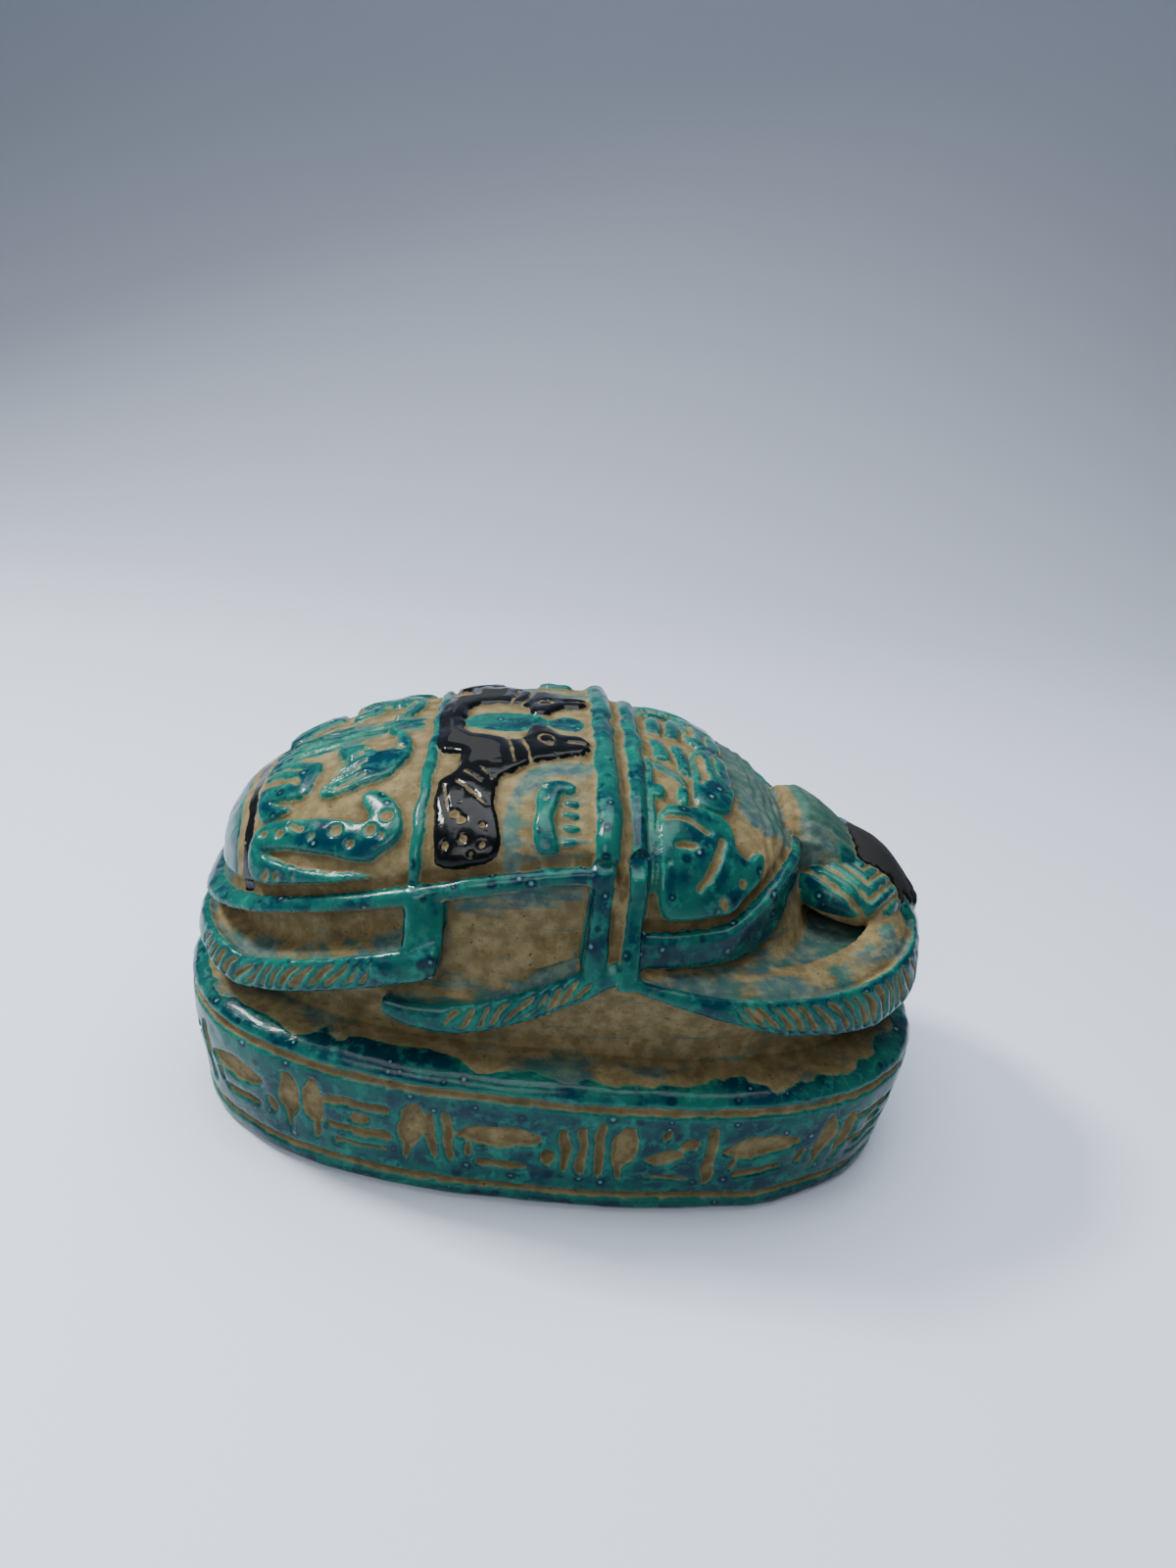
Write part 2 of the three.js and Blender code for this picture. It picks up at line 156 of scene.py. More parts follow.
def rimLow(x):
    wing = rimTop(np.minimum(x, 0)) - between(1.8, 2.6, ease(-60, -30, x))
    thorax = between(47.4, 55.4, ease(31, 42, x))
    return between(wing, thorax, ease(5, 8.5, x))


def crest(x):
    behind = between(back["rimTail"], back["top"], quarter(x / back["tail"], 2.2))
    ahead = between(52, back["top"], quarter(x / (back["front"] + 2), 2))
    return np.where(x < 0, behind, ahead)


def ledge(x):
    return np.minimum(44, 42 + 0.115 * x) + 3 * np.exp(-((x - 9) / 7) ** 2)


def bodyFoot(x):
    return np.minimum(ledge(x) + 3 * (1 - ease(25, 40, x)), rimLow(x) - 2)


# zones keep which form a place on the carving belongs to
zones = ["foot", "wall", "shoulder", "neck", "ledge", "panel", "rim", "back", "leg", "post",
         "head", "lobe", "plate", "jaw"]


def zone(name):
    return zones.index(name)


def allIn(net, name):
    for face in net.faces:
        face.material_index = zone(name)
    return net


def spunNet(rings, steps):
    # a column of rings, one unit apart, closed at both ends
    net = bmesh.new()
    ends = (0, rings + 1)
    chain = [net.verts.new((0 if j in ends else 1, 0, j)) for j in range(rings + 2)]
    edges = [net.edges.new(pair) for pair in zip(chain, chain[1:])]
    bmesh.ops.spin(net, geom=chain + edges, cent=(0, 0, 0), axis=(0, 0, 1), angle=2 * math.pi,
                   steps=steps, use_merge=True)
    bmesh.ops.remove_doubles(net, verts=net.verts, dist=1e-4)
    return net


def baseAndBody():
    rings = [
        (inset(4.8, 0), "foot"), (inset(3.3, 1.1), "foot"), (inset(2.7, base["wallFoot"]), "wall"),
        (inset(2.2, 7), "wall"), (inset(1.0, 13.8), "wall"), (inset(0.35, 19.5), "wall"),
        (inset(0, base["wallTop"]), "shoulder"), (inset(0.1, 24.8), "shoulder"),
        (inset(0.7, 26), "shoulder"), (inset(1.9, 26.8), "shoulder"), (inset(5, 27.7), "shoulder"),
        (inset(9.0, base["shoulderTop"]), "neck"),
        (inset(9.7, 29), "neck"), (inset(9.7, 30.2), "neck"), (inset(8.2, 35), "neck"),
        (inset(5.8, lambda x: ledge(x) - 1.2), "ledge"), (inset(6.4, ledge), "ledge"),
        ({"rear": 61, "front": 46, "side": 39.2, "height": bodyFoot}, "panel"),
        ({"rear": 62, "front": 42, "side": 39.4, "frontCorner": 2.5,
          "height": lambda x: rimLow(x) - 1}, "panel"),
        (backRing(1, rimLow, 0.5), "rim"), (backRing(1, lambda x: rimTop(x) - 0.8, 0.3), "rim"),
        (backRing(0.985, rimTop), "rim"), (backRing(0.968, rimTop), "back"),
        (backRing(0.93, lambda x: rimTop(x) - 1.2), "back"),
        (backRing(0.5, lambda x: between(rimTop(x), crest(x), 0.75) - 6), "back"),
    ]
    net = spunNet(len(rings), base["girthSteps"])
    for face in net.faces:
        band = int(face.calc_center_median().z)
        face.material_index = zone(rings[band - 1][1]) if band > 0 else zone("foot")
    for vert in net.verts:
        j = round(vert.co.z)
        if j in (0, len(rings) + 1):
            vert.co = (0, 0, 0 if j == 0 else 66)
            continue
        ring = rings[j - 1][0]
        x, y = ovalPoint(ring, math.atan2(vert.co.y, vert.co.x))
        height = ring["height"]
        vert.co = (x, y, height(x) if callable(height) else height)
    return net


def domedBack():
    places = [-64.5, -64.1, -63.4, -62.4, *np.arange(-61, 36.1, 1.6), 37.5, 38.6, 39.5, 40.1, 40.4]
    net = spunNet(len(places), 128)
    tail, front = -back["tail"] * 0.965, back["front"] * 0.965
    for vert in net.verts:
        j = round(vert.co.z)
        if j in (0, len(places) + 1):
            tip = tail if j == 0 else front
            vert.co = (tip, 0, rimTop(tip))
            continue
        x = places[j - 1]
        up, side = vert.co.x, vert.co.y
        power = base["corner"] if x < 0 else base["frontCorner"]
        half = 0.955 * back["side"] * eggWidth(x) * quarter(x / (tail if x < 0 else front), power)
        roof = max(1, crest(x) - rimTop(x) - back["sunk"])
        rise = roof * up ** (2 / back["square"]) if up > 0 else 6 * up
        across = half * math.copysign(abs(side) ** (2 / back["square"]), side)
        vert.co = (x, across, rimTop(x) + rise)
    return allIn(net, "back")


# legs: bands swept round the outline; t runs from a band's lower edge to its upper edge

legs = {
    "rear": {
        "from": None, "to": -21.6, "overhang": 1.4, "pitch": 2.75, "slant": 3.2,
        "cutFrom": -74, "cutTo": -30.5,
        "lower": lambda x: 32 + 0.36 * np.maximum(0, x + 56), "band": lambda x: 5.3 + 0 * x,
    },
    "middle": {
        "from": -31, "to": 9.5, "overhang": 2.8, "pitch": 2.9, "slant": 3.0,
        "cutFrom": -21, "cutTo": 4.5,
        "lower": lambda x: np.where(x < -22, 33 + 0.03 * (x + 22) ** 2,
                                    33 + 14.4 * (np.maximum(0, x + 22) / 31) ** 1.8),
        "band": lambda x: 1 + 4.4 * quarter((x + 11) / 21, 2),
    },
    "front": {
        "from": 10.5, "to": None, "overhang": 1.8, "pitch": 2.6, "slant": -4.6,
        "cutFrom": 26, "cutTo": 74,
        "lower": lambda x: 35.6 + 9.6 * (np.maximum(0, 58 - x) / 47) ** 1.9,
        "band": lambda x: 1.2 + 0.17 * (x - 10),
    },
}
legSection = [
    (1.6, -0.12), (0.3, -0.02), (-0.1, 0.2), (0.0, 0.6), (0.5, 0.88), (1.4, 1.0), (2.3, 1.0),
    (2.8, 0.94), (3.4, 1.0), (4.6, 1.12), (6.0, 1.2), (9.5, 1.25), (9.5, -0.15),
]


def angleAt(x):
    low, high = -math.pi, 0
    for _ in range(40):
        middle = (low + high) / 2
        if ovalPoint(inset(2), middle)[0] < x:
            low = middle
        else:
            high = middle
    return (low + high) / 2


def legBand(leg):
    steps = 130
    net = bmesh.new()
    section = [net.verts.new((10 + depth, 0, share)) for depth, share in legSection]
    edges = [net.edges.new(pair) for pair in zip(section, section[1:] + section[:1])]
    bmesh.ops.spin(net, geom=section + edges, cent=(0, 0, 0), axis=(0, 0, 1), angle=1, steps=steps)
    bmesh.ops.holes_fill(net, edges=[edge for edge in net.edges if edge.is_boundary], sides=0)
    start = -math.pi - 0.04 if leg["from"] is None else angleAt(leg["from"])
    end = 0.04 if leg["to"] is None else angleAt(leg["to"])
    for vert in net.verts:
        along = math.atan2(vert.co.y, vert.co.x)
        depth, share = math.hypot(vert.co.x, vert.co.y) - 10, vert.co.z
        angle = between(start, end, along)
        outer, ahead = (np.array(ovalPoint(inset(leg["overhang"]), angle + turn)) for turn in (0, 0.004))
        tangent = (ahead - outer) / np.hypot(*(ahead - outer))
        x, y = outer + depth * np.array([-tangent[1], tangent[0]])
        vert.co = (x, y, leg["lower"](outer[0]) + share * leg["band"](outer[0]))
    return allIn(net, "leg")


def block(cuts, move, name):
    # a finely divided cube from (-1, -1, -1) to (1, 1, 1), moved vertex by vertex
    net = bmesh.new()
    bmesh.ops.create_cube(net, size=2)
    bmesh.ops.subdivide_edges(net, edges=net.edges, cuts=cuts, use_grid_fill=True)
    for vert in net.verts:
        vert.co = move(*vert.co)
    return allIn(net, name)


def ball(centre, size, name, turn=0):
    net = bmesh.new()
    bmesh.ops.create_uvsphere(net, u_segments=40, v_segments=24, radius=1)
    bmesh.ops.scale(net, verts=net.verts, vec=size)
    bmesh.ops.rotate(net, verts=net.verts, cent=(0, 0, 0), matrix=Matrix.Rotation(turn, 3, "Y"))
    bmesh.ops.translate(net, verts=net.verts, vec=centre)
    return allIn(net, name)


def sidePost(start, end, top, foot, footInset, setBack=0):
    # a bar against the side, from the rim down to a leg; foot gives the height of its lower edge
    middle = (start + end) / 2
    rimPlace = -sideAt(backRing(1, 0, 0.45), middle)
    legPlace = -sideAt(inset(footInset), middle)

    def move(u, v, w):
        high = (w + 1) / 2
        x = middle + u * (end - start) / 2
        bottom = foot(x) + 2.0 * max(0, (u - 0.35) / 0.65) ** 2
        front = between(legPlace, rimPlace, high) + setBack
        front += 0.7 * max(0, (abs(u) - 0.45) / 0.55) ** 2
        crown = top - 1.1 * ((1 - v) / 2) ** 6
        return (x, between(front, -30, (v + 1) / 2), between(bottom, crown, high))

    return block(11, move, "post")


head = {"neckX": 39.4, "browX": 53.6, "half": 12.2, "neckTop": 65.3, "browTop": 57.6}


def headWedge():
    def move(u, v, w):
        along, high = (u + 1) / 2, (w + 1) / 2
        x = between(head["neckX"], head["browX"], along)
        roof = between(head["neckTop"], head["browTop"], along ** 1.8) - 1.6 * math.exp(-along * 12)
        roof -= 5.2 * abs(v) ** 3.2 * between(1, 0.75, along)
        return (x, v * head["half"], between(between(43, 48, along), roof, high))

    return block(12, move, "head")


def eyeLobe(side):
    lobe = ball((52, side * 11.2, 49.6), (10.6, 9.4, 6.4), "lobe", 0.16)
    for vert in lobe.verts:
        vert.co.z = max(vert.co.z, 48.3 + 0.16 * (52 - vert.co.x) - 1.2)
    return lobe


plate = {
    "centre": 54.4, "radius": 15.2, "inner": 10.2, "spread": 1.08, "slits": 9, "thick": 5.6, "cuts": 90,
}


def toothedPlate():
    def move(u, v, w):
        turn = plate["spread"] * v
        phase = (v + 1) / 2 * plate["slits"]
        slit = math.exp(-((phase - round(phase)) / 0.2) ** 4) * (0.3 < phase < plate["slits"] - 0.3)
        radius = plate["radius"] - (plate["radius"] - plate["inner"]) * slit
        along = (u + 1) / 2
        outX, outY = plate["centre"] + radius * math.cos(turn), 0.98 * radius * math.sin(turn)
        inX, inY = 48.5, 11.6 * v
        x, y = between(inX, outX, along), between(inY, outY, along)
        top = 57.8 - 10.5 * (max(0, x - 53) / 16) ** 2 - 0.026 * y * y
        thick = plate["thick"] * between(1, 0.55, along ** 3)
        return (x, y, top - thick * (1 - w) / 2)

    return block(plate["cuts"], move, "plate")


def faceRank(face):
    low = sorted(vert.index for vert in face.verts)
    return low[0] * 2 ** 36 + low[1] * 2 ** 18 + low[2]


def wholeCarving():
    forms = [baseAndBody(), domedBack(), headWedge(), eyeLobe(-1), eyeLobe(1), toothedPlate()]
    forms.append(ball((60.5, 0, 47.2), (6.4, 14.2, 3.4), "jaw"))
    for side in (-1, 1):
        forms.append(ball((61.6, side * 11.0, 46.2), (4.2, 4.0, 3.0), "jaw"))
    halves = [legBand(leg) for leg in legs.values()]
    halves += [
        sidePost(-27.4, -21.2, rimTop(-24) - 0.4, lambda x: legs["rear"]["lower"](x) + 0.2, 1.3),
        sidePost(1.9, 5.4, rimTop(3) + 1.2, lambda x: legs["middle"]["lower"](x) + 0.2, 2.6),
        sidePost(7.5, 10.5, rimTop(3) + 0.4, lambda x: 45.3, 1.7),
        sidePost(5.0, 7.8, rimTop(3) - 2, lambda x: 44.6, 2.2, 1.5),
    ]
    whole = bmesh.new()
    for form in forms + halves:
        spare = bpy.data.meshes.new("spare")
        bmesh.ops.recalc_face_normals(form, faces=form.faces)
        form.to_mesh(spare)
        whole.from_mesh(spare)
        if form in halves:
            bmesh.ops.scale(form, verts=form.verts, vec=(1, -1, 1))
            bmesh.ops.reverse_faces(form, faces=form.faces)
            form.to_mesh(spare)
            whole.from_mesh(spare)
        form.free()
        bpy.data.meshes.remove(spare)
    # faces can arrive in another order from run to run, so they are ranked by their corners
    whole.verts.index_update()
    whole.faces.sort(key=faceRank)
    whole.faces.index_update()
    return whole


carving = {"voxel": 0.45, "triangles": 192000}


def oneSkin(whole):
    # all the forms joined under a single closed skin
    rough = bpy.data.meshes.new("rough")
    whole.to_mesh(rough)
    for _ in zones:
        rough.materials.append(None)
    piece = placed("rough", rough)
    remesh = piece.modifiers.new("oneSkin", "REMESH")
    remesh.mode = "VOXEL"
    remesh.voxel_size = carving["voxel"]
    return modified(piece)


whole = wholeCarving()
skin = oneSkin(whole)
print("forms joined in one skin of", len(skin.vertices), "points")

count = len(skin.vertices)
points = np.empty(count * 3)
skin.vertices.foreach_get("co", points)
points = points.reshape(-1, 3)
edges = np.empty(len(skin.edges) * 2, dtype=np.int64)
skin.edges.foreach_get("vertices", edges)
edges = edges.reshape(-1, 2)
degree = np.bincount(edges.ravel(), minlength=count).astype(float)


def neighbours(values):
    total = np.bincount(edges[:, 0], values[edges[:, 1]], count)
    return (total + np.bincount(edges[:, 1], values[edges[:, 0]], count)) / degree


def softened(values, times):
    if values.ndim == 2:
        return np.stack([softened(column, times) for column in values.T], axis=1)
    for _ in range(times):
        values = between(values, neighbours(values), 0.5)
    return values


def normalsOf(places):
    skin.vertices.foreach_set("co", places.ravel())
    skin.update()
    found = np.empty(count * 3)
    skin.vertex_normals.foreach_get("vector", found)
    return found.reshape(-1, 3)


forms = BVHTree.FromBMesh(whole)
zoneOfFace = [face.material_index for face in whole.faces]
zoneAt = np.array([zoneOfFace[forms.find_nearest(Vector(place))[2]] for place in points])
whole.free()
points = softened(points, 2)
print("zones found")


# places on the skin, measured the carver's way

px, py, pz = points.T
ay = np.abs(py)
down = (ay - (pz - 60)) * math.sqrt(0.5)   # from the crest to the rim, on a plane leaning 45 degrees
polar = np.arctan2(-ay / eggWidth(px), px)
ringAngles = np.linspace(-math.pi, 0, 720)
ringX, ringY = ovalPoint(inset(2), ringAngles)
ringRun = np.concatenate([[0], np.cumsum(np.hypot(np.diff(ringX), np.diff(ringY)))])
ringMiddle = np.interp(0, ringX, ringRun)
run = np.interp(polar, ringAngles, ringRun) - ringMiddle   # along the outline, 0 beside the middle


def within(*names):
    return np.isin(zoneAt, [zone(name) for name in names])


def fromOval(distance):
    # how far each point is from the oval drawn this far inside the base's edge
    return np.hypot(*(np.array(ovalPoint(inset(distance), polar)) - np.array([px, -ay])))


def fadeIn(distance, width=0.35):
    return ease(-width, width, distance)


def lineAway(x, y, x1, y1, x2, y2):
    # how far each place is from a straight stroke, and how far along the stroke it is
    dx, dy = x2 - x1, y2 - y1
    t = np.clip(((x - x1) * dx + (y - y1) * dy) / (dx * dx + dy * dy + 1e-9), 0, 1)
    return np.hypot(x - x1 - t * dx, y - y1 - t * dy), t


def stroke(x, y, x1, y1, x2, y2, half):
    return half - lineAway(x, y, x1, y1, x2, y2)[0]


def insideOutline(x, y, outline):
    # distance to a closed outline: positive inside
    nearest = np.full(len(x), 99.0)
    inside = np.zeros(len(x), dtype=bool)
    for (x1, y1), (x2, y2) in zip(outline, outline[1:] + outline[:1]):
        nearest = np.minimum(nearest, lineAway(x, y, x1, y1, x2, y2)[0])
        crosses = (y1 > y) != (y2 > y)
        inside ^= crosses & (x < (x2 - x1) * (y - y1) / (y2 - y1 + 1e-9) + x1)
    return np.where(inside, nearest, -nearest)


def rounded(outline, times=2):
    for _ in range(times):
        cut = []
        for (x1, y1), (x2, y2) in zip(outline, outline[1:] + outline[:1]):
            cut += [(between(x1, x2, 0.25), between(y1, y2, 0.25)),
                    (between(x1, x2, 0.75), between(y1, y2, 0.75))]
        outline = cut
    return outline


def bar(x1, y1, x2, y2):
    return [(x1, y1), (x2, y1), (x2, y2), (x1, y2)]


# figures on the back, as (place along X, place down the side) on one side; the other side mirrors
# them. cuts are (x1, d1, x2, d2, half width) and spots (x, d, radius)

plainFigure = {"tone": "glaze", "round": 1, "soft": 0.35, "cuts": [], "spots": []}
figures = {}
figures["bird"] = {
    "tone": "ink", "height": 1,
    "outline": [
        (-26.2, -9.6), (-21.7, -9.4), (-21.5, -3.1), (-14.3, -1.9), (-10.6, -1.6), (-9.6, -7.4),
        (-7, -7.6), (-5, -5), (-3.4, -3.4), (0.6, -3.3), (0.9, 1.2), (-3.6, 2.4), (-8.1, 4.6),
        (-10.5, 6.2), (-15.1, 10.8), (-15.5, 15.2), (-14, 19.2), (-13.2, 22.6), (-13.8, 25.4),
        (-15.6, 26.6), (-23, 27), (-23.8, 23.5), (-24.9, 11.7), (-21.8, 8.6), (-21.1, 4.6),
        (-21.6, 2.8), (-25.4, 2.8), (-25.9, -3),
    ],
    "cuts": [
        (-13.6, -1.6, -12, 5.6, 0.3), (-10.9, -1.6, -9.2, 5.2, 0.3), (-3.2, -1.3, 0.4, -1.1, 0.3),
        (-20.4, 8.8, -17.2, 11.4, 0.2), (-21.4, 11.4, -17.6, 14.4, 0.2), (-19.2, 13.4, -16.2, 16.2, 0.2),
        (-23.1, 12.6, -22.2, 17.6, 0.24), (-17.2, 8.4, -15.4, 10.6, 0.2),
    ],
    "spots": [
        (-20.9, 18.2, 0.8), (-19.6, 19.4, 0.75), (-16.3, 20.3, 0.5), (-6.4, -0.4, 0.5),
        (-18.9, 22.6, 0.6), (-15.8, 23.4, 0.5), (-21.8, 23.4, 0.65), (-17.4, 24.8, 0.4),
    ],
}
figures["comb"] = {
    "height": 1.1,
    "outline": [
        (-8, 10.8), (-4.8, 10.2), (-1.4, 11), (-1.6, 13), (-4.9, 12.9), (-4.9, 23.7), (-2, 23.9),
        (-1.4, 26.4), (-8, 26.4),
    ],
    "spots": [(-6.6, 12.2, 0.4), (-6.7, 14.8, 0.35)],
}
figures["lobed"] = {
    "round": 2, "height": 1.3,
    "outline": [
        (-54.4, 25.9), (-55.3, 22.4), (-54.8, 18.4), (-52.5, 17.2), (-49.8, 17.3), (-42.8, 17.5),
        (-38.8, 18.6), (-35.1, 19.6), (-34.4, 17.8), (-37, 14.6), (-34.3, 12.8), (-31.4, 14.4),
        (-29, 18.6), (-28.9, 21.9), (-30.3, 23.7), (-35, 26), (-40.1, 24.6), (-45.3, 23.1),
        (-51.9, 21.9), (-52.2, 22.9), (-46.7, 25.4), (-41.5, 26.8), (-34, 27.4), (-28.2, 28),
        (-29.9, 29.2), (-39.6, 29.2), (-50, 27.8),
    ],
    "cuts": [(-47.5, 18.9, -45.6, 20, 0.5), (-51.9, 26.2, -51.2, 25.6, 0.5)],
    "spots": [
        (-52.1, 19.6, 0.6), (-49.3, 19.9, 0.65), (-39.6, 20.6, 1.0), (-36.9, 22.9, 0.7),
        (-33.9, 20.8, 0.9), (-31.6, 18.4, 1.05), (-49.6, 25.9, 0.5), (-43.4, 21.3, 0.5),
        (-31.9, 21.8, 0.5), (-46.2, 26.6, 0.35),
    ],
}
figures["perch"] = {
    "height": 1.1,
    "outline": [
        (-44.9, 13.9), (-42.3, 8.2), (-40.1, 4.6), (-44.6, 1.4), (-40.5, -0.4), (-37.8, 0.6),
        (-36, 3), (-34.5, 2.1), (-33.1, 0.5), (-33.5, -3.2), (-36, -4.9), (-32.6, -4.9),
        (-30.6, -1.9), (-30.1, 3.3), (-31.2, 7.3), (-33.4, 9.4), (-36.5, 11.4), (-40.3, 13.1),
    ],
    "cuts": [(-42.8, 10.8, -38, 7.6, 0.3), (-41.6, 8.2, -37.6, 5.6, 0.3), (-41.6, 12.4, -36.6, 9.4, 0.3),
             (-40.4, 5.2, -38.2, 3.9, 0.26), (-43.6, 12.6, -41.2, 11.4, 0.26)],
    "spots": [(-32.4, 1.6, 0.9), (-37.6, 2.4, 0.55)],
}
figures["step"] = {
    "height": 1,
    "outline": [
        (-54.9, 16.4), (-56.2, 11.2), (-55.7, 6), (-54.6, 2.4), (-46.4, 3.6), (-45.2, 5),
        (-46.2, 11.6), (-47.6, 12.8), (-51.6, 12.4), (-53.4, 13.2), (-48.8, 14.4), (-48.8, 15.4),
        (-52, 16.4),
    ],
    "cuts": [(-55.3, 8.4, -50, 8.2, 0.7), (-50, 8.2, -48.6, 9.6, 0.6), (-54.2, 5.2, -49.6, 5.4, 0.3)],
}
figures["lobeFront"] = {
    "round": 2, "height": 1.5,
    "outline": [
        (12.2, 12.4), (16.8, 10.9), (20.9, 11.3), (24.4, 12.6), (25.8, 15.4), (26.3, 18.8),
        (28.6, 20.0), (29.6, 17.2), (31.3, 17.8), (30.9, 20.8), (28.1, 25.4), (23.8, 29.2),
        (17.6, 31.4), (14.2, 31.2), (12.3, 28.2),
    ],
    "cuts": [
        (13.4, 15.2, 16.9, 14.6, 0.55), (16.9, 14.6, 20.4, 16.4, 0.5), (22.9, 17.6, 22.3, 20.8, 0.62),
        (22.3, 20.8, 20.6, 24.2, 0.62), (20.6, 24.2, 19.2, 26.2, 0.5), (15.2, 19.6, 17.8, 19.2, 0.6),
    ],
    "spots": [(13.9, 22.8, 0.3), (26.6, 23.6, 0.7), (23.6, 27.2, 0.8)],
}
figures["stripFront"] = {"height": 0.8, "outline": bar(10.9, -1.0, 12.0, 27.6)}
figures["brow"] = {
    "height": 1,
    "outline": [
        (20, -6.2), (22.7, -8.1), (26.5, -6), (27.3, 0.5), (26.5, 7), (24.6, 10.9), (21.6, 11),
        (18.9, 9.8), (19.6, 3),
    ],
    "cuts": [(21.2, -3.4, 21.6, 2.8, 0.8), (23.6, -5.4, 24.4, 0.6, 0.25)],
    "spots": [(20.9, 4.6, 0.5)],
}
figures["chipSpot"] = {"height": 0.8, "outline": bar(11.6, 6.2, 14, 10), "spots": [(14.2, 10.2, 0.8)]}
figures["divider"] = {"round": 0, "height": 0.9, "outline": bar(-27.3, -12, -25.6, 40)}
figures["ridgeRear"] = {"round": 0, "height": 1.3, "soft": 1.3, "outline": bar(1.8, -12, 5.5, 46)}
figures["ridgeFront"] = {"round": 0, "height": 1.3, "soft": 1.2, "outline": bar(7.5, -12, 10.4, 46)}
chips = [
    (0.9, [(12.3, -7.4), (15, -7.4), (15.4, -0.4), (12.9, -0.6)]),
    (0.9, [(16.2, -6.6), (18.8, -6.2), (19, 2.9), (17, 2)]),
    (0.9, [(11.8, 1), (12.8, 0.4), (17.9, 4.4), (17.9, 5.6)]),
    (0.8, [(16.2, 5.8), (18, 6.4), (17.6, 10.2), (16.2, 10)]),
]
for i, (height, outline) in enumerate(chips):
    figures[f"chip{i}"] = {"round": 0, "height": height, "outline": outline}
for i, offset in enumerate((0.9, 2.1, 3.4, 4.8)):
    reach = -29 if i < 2 else -43
    line = [(x, offset - (crest(x) - 60) * math.sqrt(0.5)) for x in np.linspace(-57, reach, 9)]
    figures[f"streak{i}"] = {
        "height": 0.3,
        "outline": [(x, d - 0.42) for x, d in line] + [(x, d + 0.42) for x, d in reversed(line)],
    }
for i in range(5):
    x, d = -38.4 - 0.5 * i, 1.6 + 2.1 * i
    figures[f"feather{i}"] = {
        "height": 0.35,
        "outline": [(x, d), (x + 0.5, d + 0.7), (x - 4.2 + 0.5 * i, d + 2.7), (x - 4.6 + 0.5 * i, d + 2.2)],
    }
for tooth in range(4):
    top = 14.3 + 2.5 * tooth
    figures[f"tooth{tooth}"] = {"height": 0.8, "outline": bar(-3.6, top, -1.2, top + 1.25)}


# what is laid on the skin, a value a point: relief outwards in millimetres, glaze and ink as the
# distance inside their painted edges, and wash as the share of thin brushed colour

bareClay, noInk, fullGlaze = -1.6, -2.0, 1.6
depth = {
    "figureCut": 0.55, "eye": 0.3, "channel": 0.55, "legCut": 0.75, "legGroove": 0.45, "stroke": 0.9,
    "headLine": 0.34, "collar": 0.5, "lobe": 0.55,
}
relief = np.zeros(count)
glaze = np.full(count, bareClay)
ink = np.full(count, noInk)
wash = np.zeros(count)

wander = 0.2 * waves(points, 8, 5)
isBack = within("back")
bx, bd, by = px[isBack] + wander[isBack], down[isBack] + wander[isBack], ay[isBack]


def figureCuts(figure):
    cut = np.full(len(bx), -9.0)
    for one in figure["cuts"]:
        cut = np.maximum(cut, stroke(bx, bd, *one))
    for x, d, radius in figure["spots"]:
        cut = np.maximum(cut, radius - np.hypot(bx - x, bd - d))
    return cut


def raiseFigures():
    height, teal, dark = np.zeros(len(bx)), np.full(len(bx), bareClay), np.full(len(bx), noInk)
    for stated in figures.values():
        figure = {**plainFigure, **stated}
        inside = insideOutline(bx, bd, rounded(figure["outline"], figure["round"]))
        cut = figureCuts(figure)
        rise = figure["height"] * fadeIn(inside, figure["soft"]) + 0.25 * ease(0, 2.4, inside)
        rise -= depth["figureCut"] * fadeIn(cut, 0.3) * fadeIn(inside)
        height = np.maximum(height, rise)
        painted = np.minimum(inside + 0.15, -cut)
        if figure["tone"] == "ink":
            dark = np.maximum(dark, painted)
        else:
            teal = np.maximum(teal, painted)
    eye = 0.28 - np.abs(np.hypot(bx + 6.8, bd + 1.9) - 1.25)
    relief[isBack] = height - depth["eye"] * fadeIn(eye, 0.2)
    glaze[isBack] = teal
    ink[isBack] = np.minimum(dark, -eye)


def glazeCrestAndTail():
    # blots of glaze between the birds, the dark line at the tail, and the band outside it
    blots = np.maximum((1 - np.hypot((bx + 14.2) / 7.8, by / 5.4)) * 5,
                       (1 - np.hypot((bx + 2.8) / 3.5, by / 4.2)) * 3)
    tailBand = np.clip(-61.2 - bx + 0.12 * bd, bareClay, 1.4)
    glaze[isBack] = np.maximum.reduce([glaze[isBack], np.minimum(blots, 1.4), tailBand])
    tailLine = np.where(bd > -3, 0.85 - np.abs(bx + 58.8 - 0.108 * bd), noInk)
    ink[isBack] = np.maximum(ink[isBack], tailLine)


# brushed places on the back: the arch over the comb, and areas as (share, softness, outline)
arch = [(-11.4, 26.3), (-12, 18), (-11.1, 11.4), (-8, 7.2), (-3, 4.7), (1.2, 4.9)]
brushedAreas = [
    (0.42, 1, arch + [(1.2, 26.3)]),
    (0.78, 1.5, [(-57, -3), (-29, -9), (-28.5, -5.4), (-33, -4.2), (-46, 1.4), (-56, 3.2)]),
    (0.95, 1, [(27.6, -9), (37, -3), (38, 9), (31, 12.5), (27.4, 9)]),
]
combedCrest = [(-58, -12), (-29, -12), (-28.5, -5.4), (-46, 1.4), (-56, 3.2)]


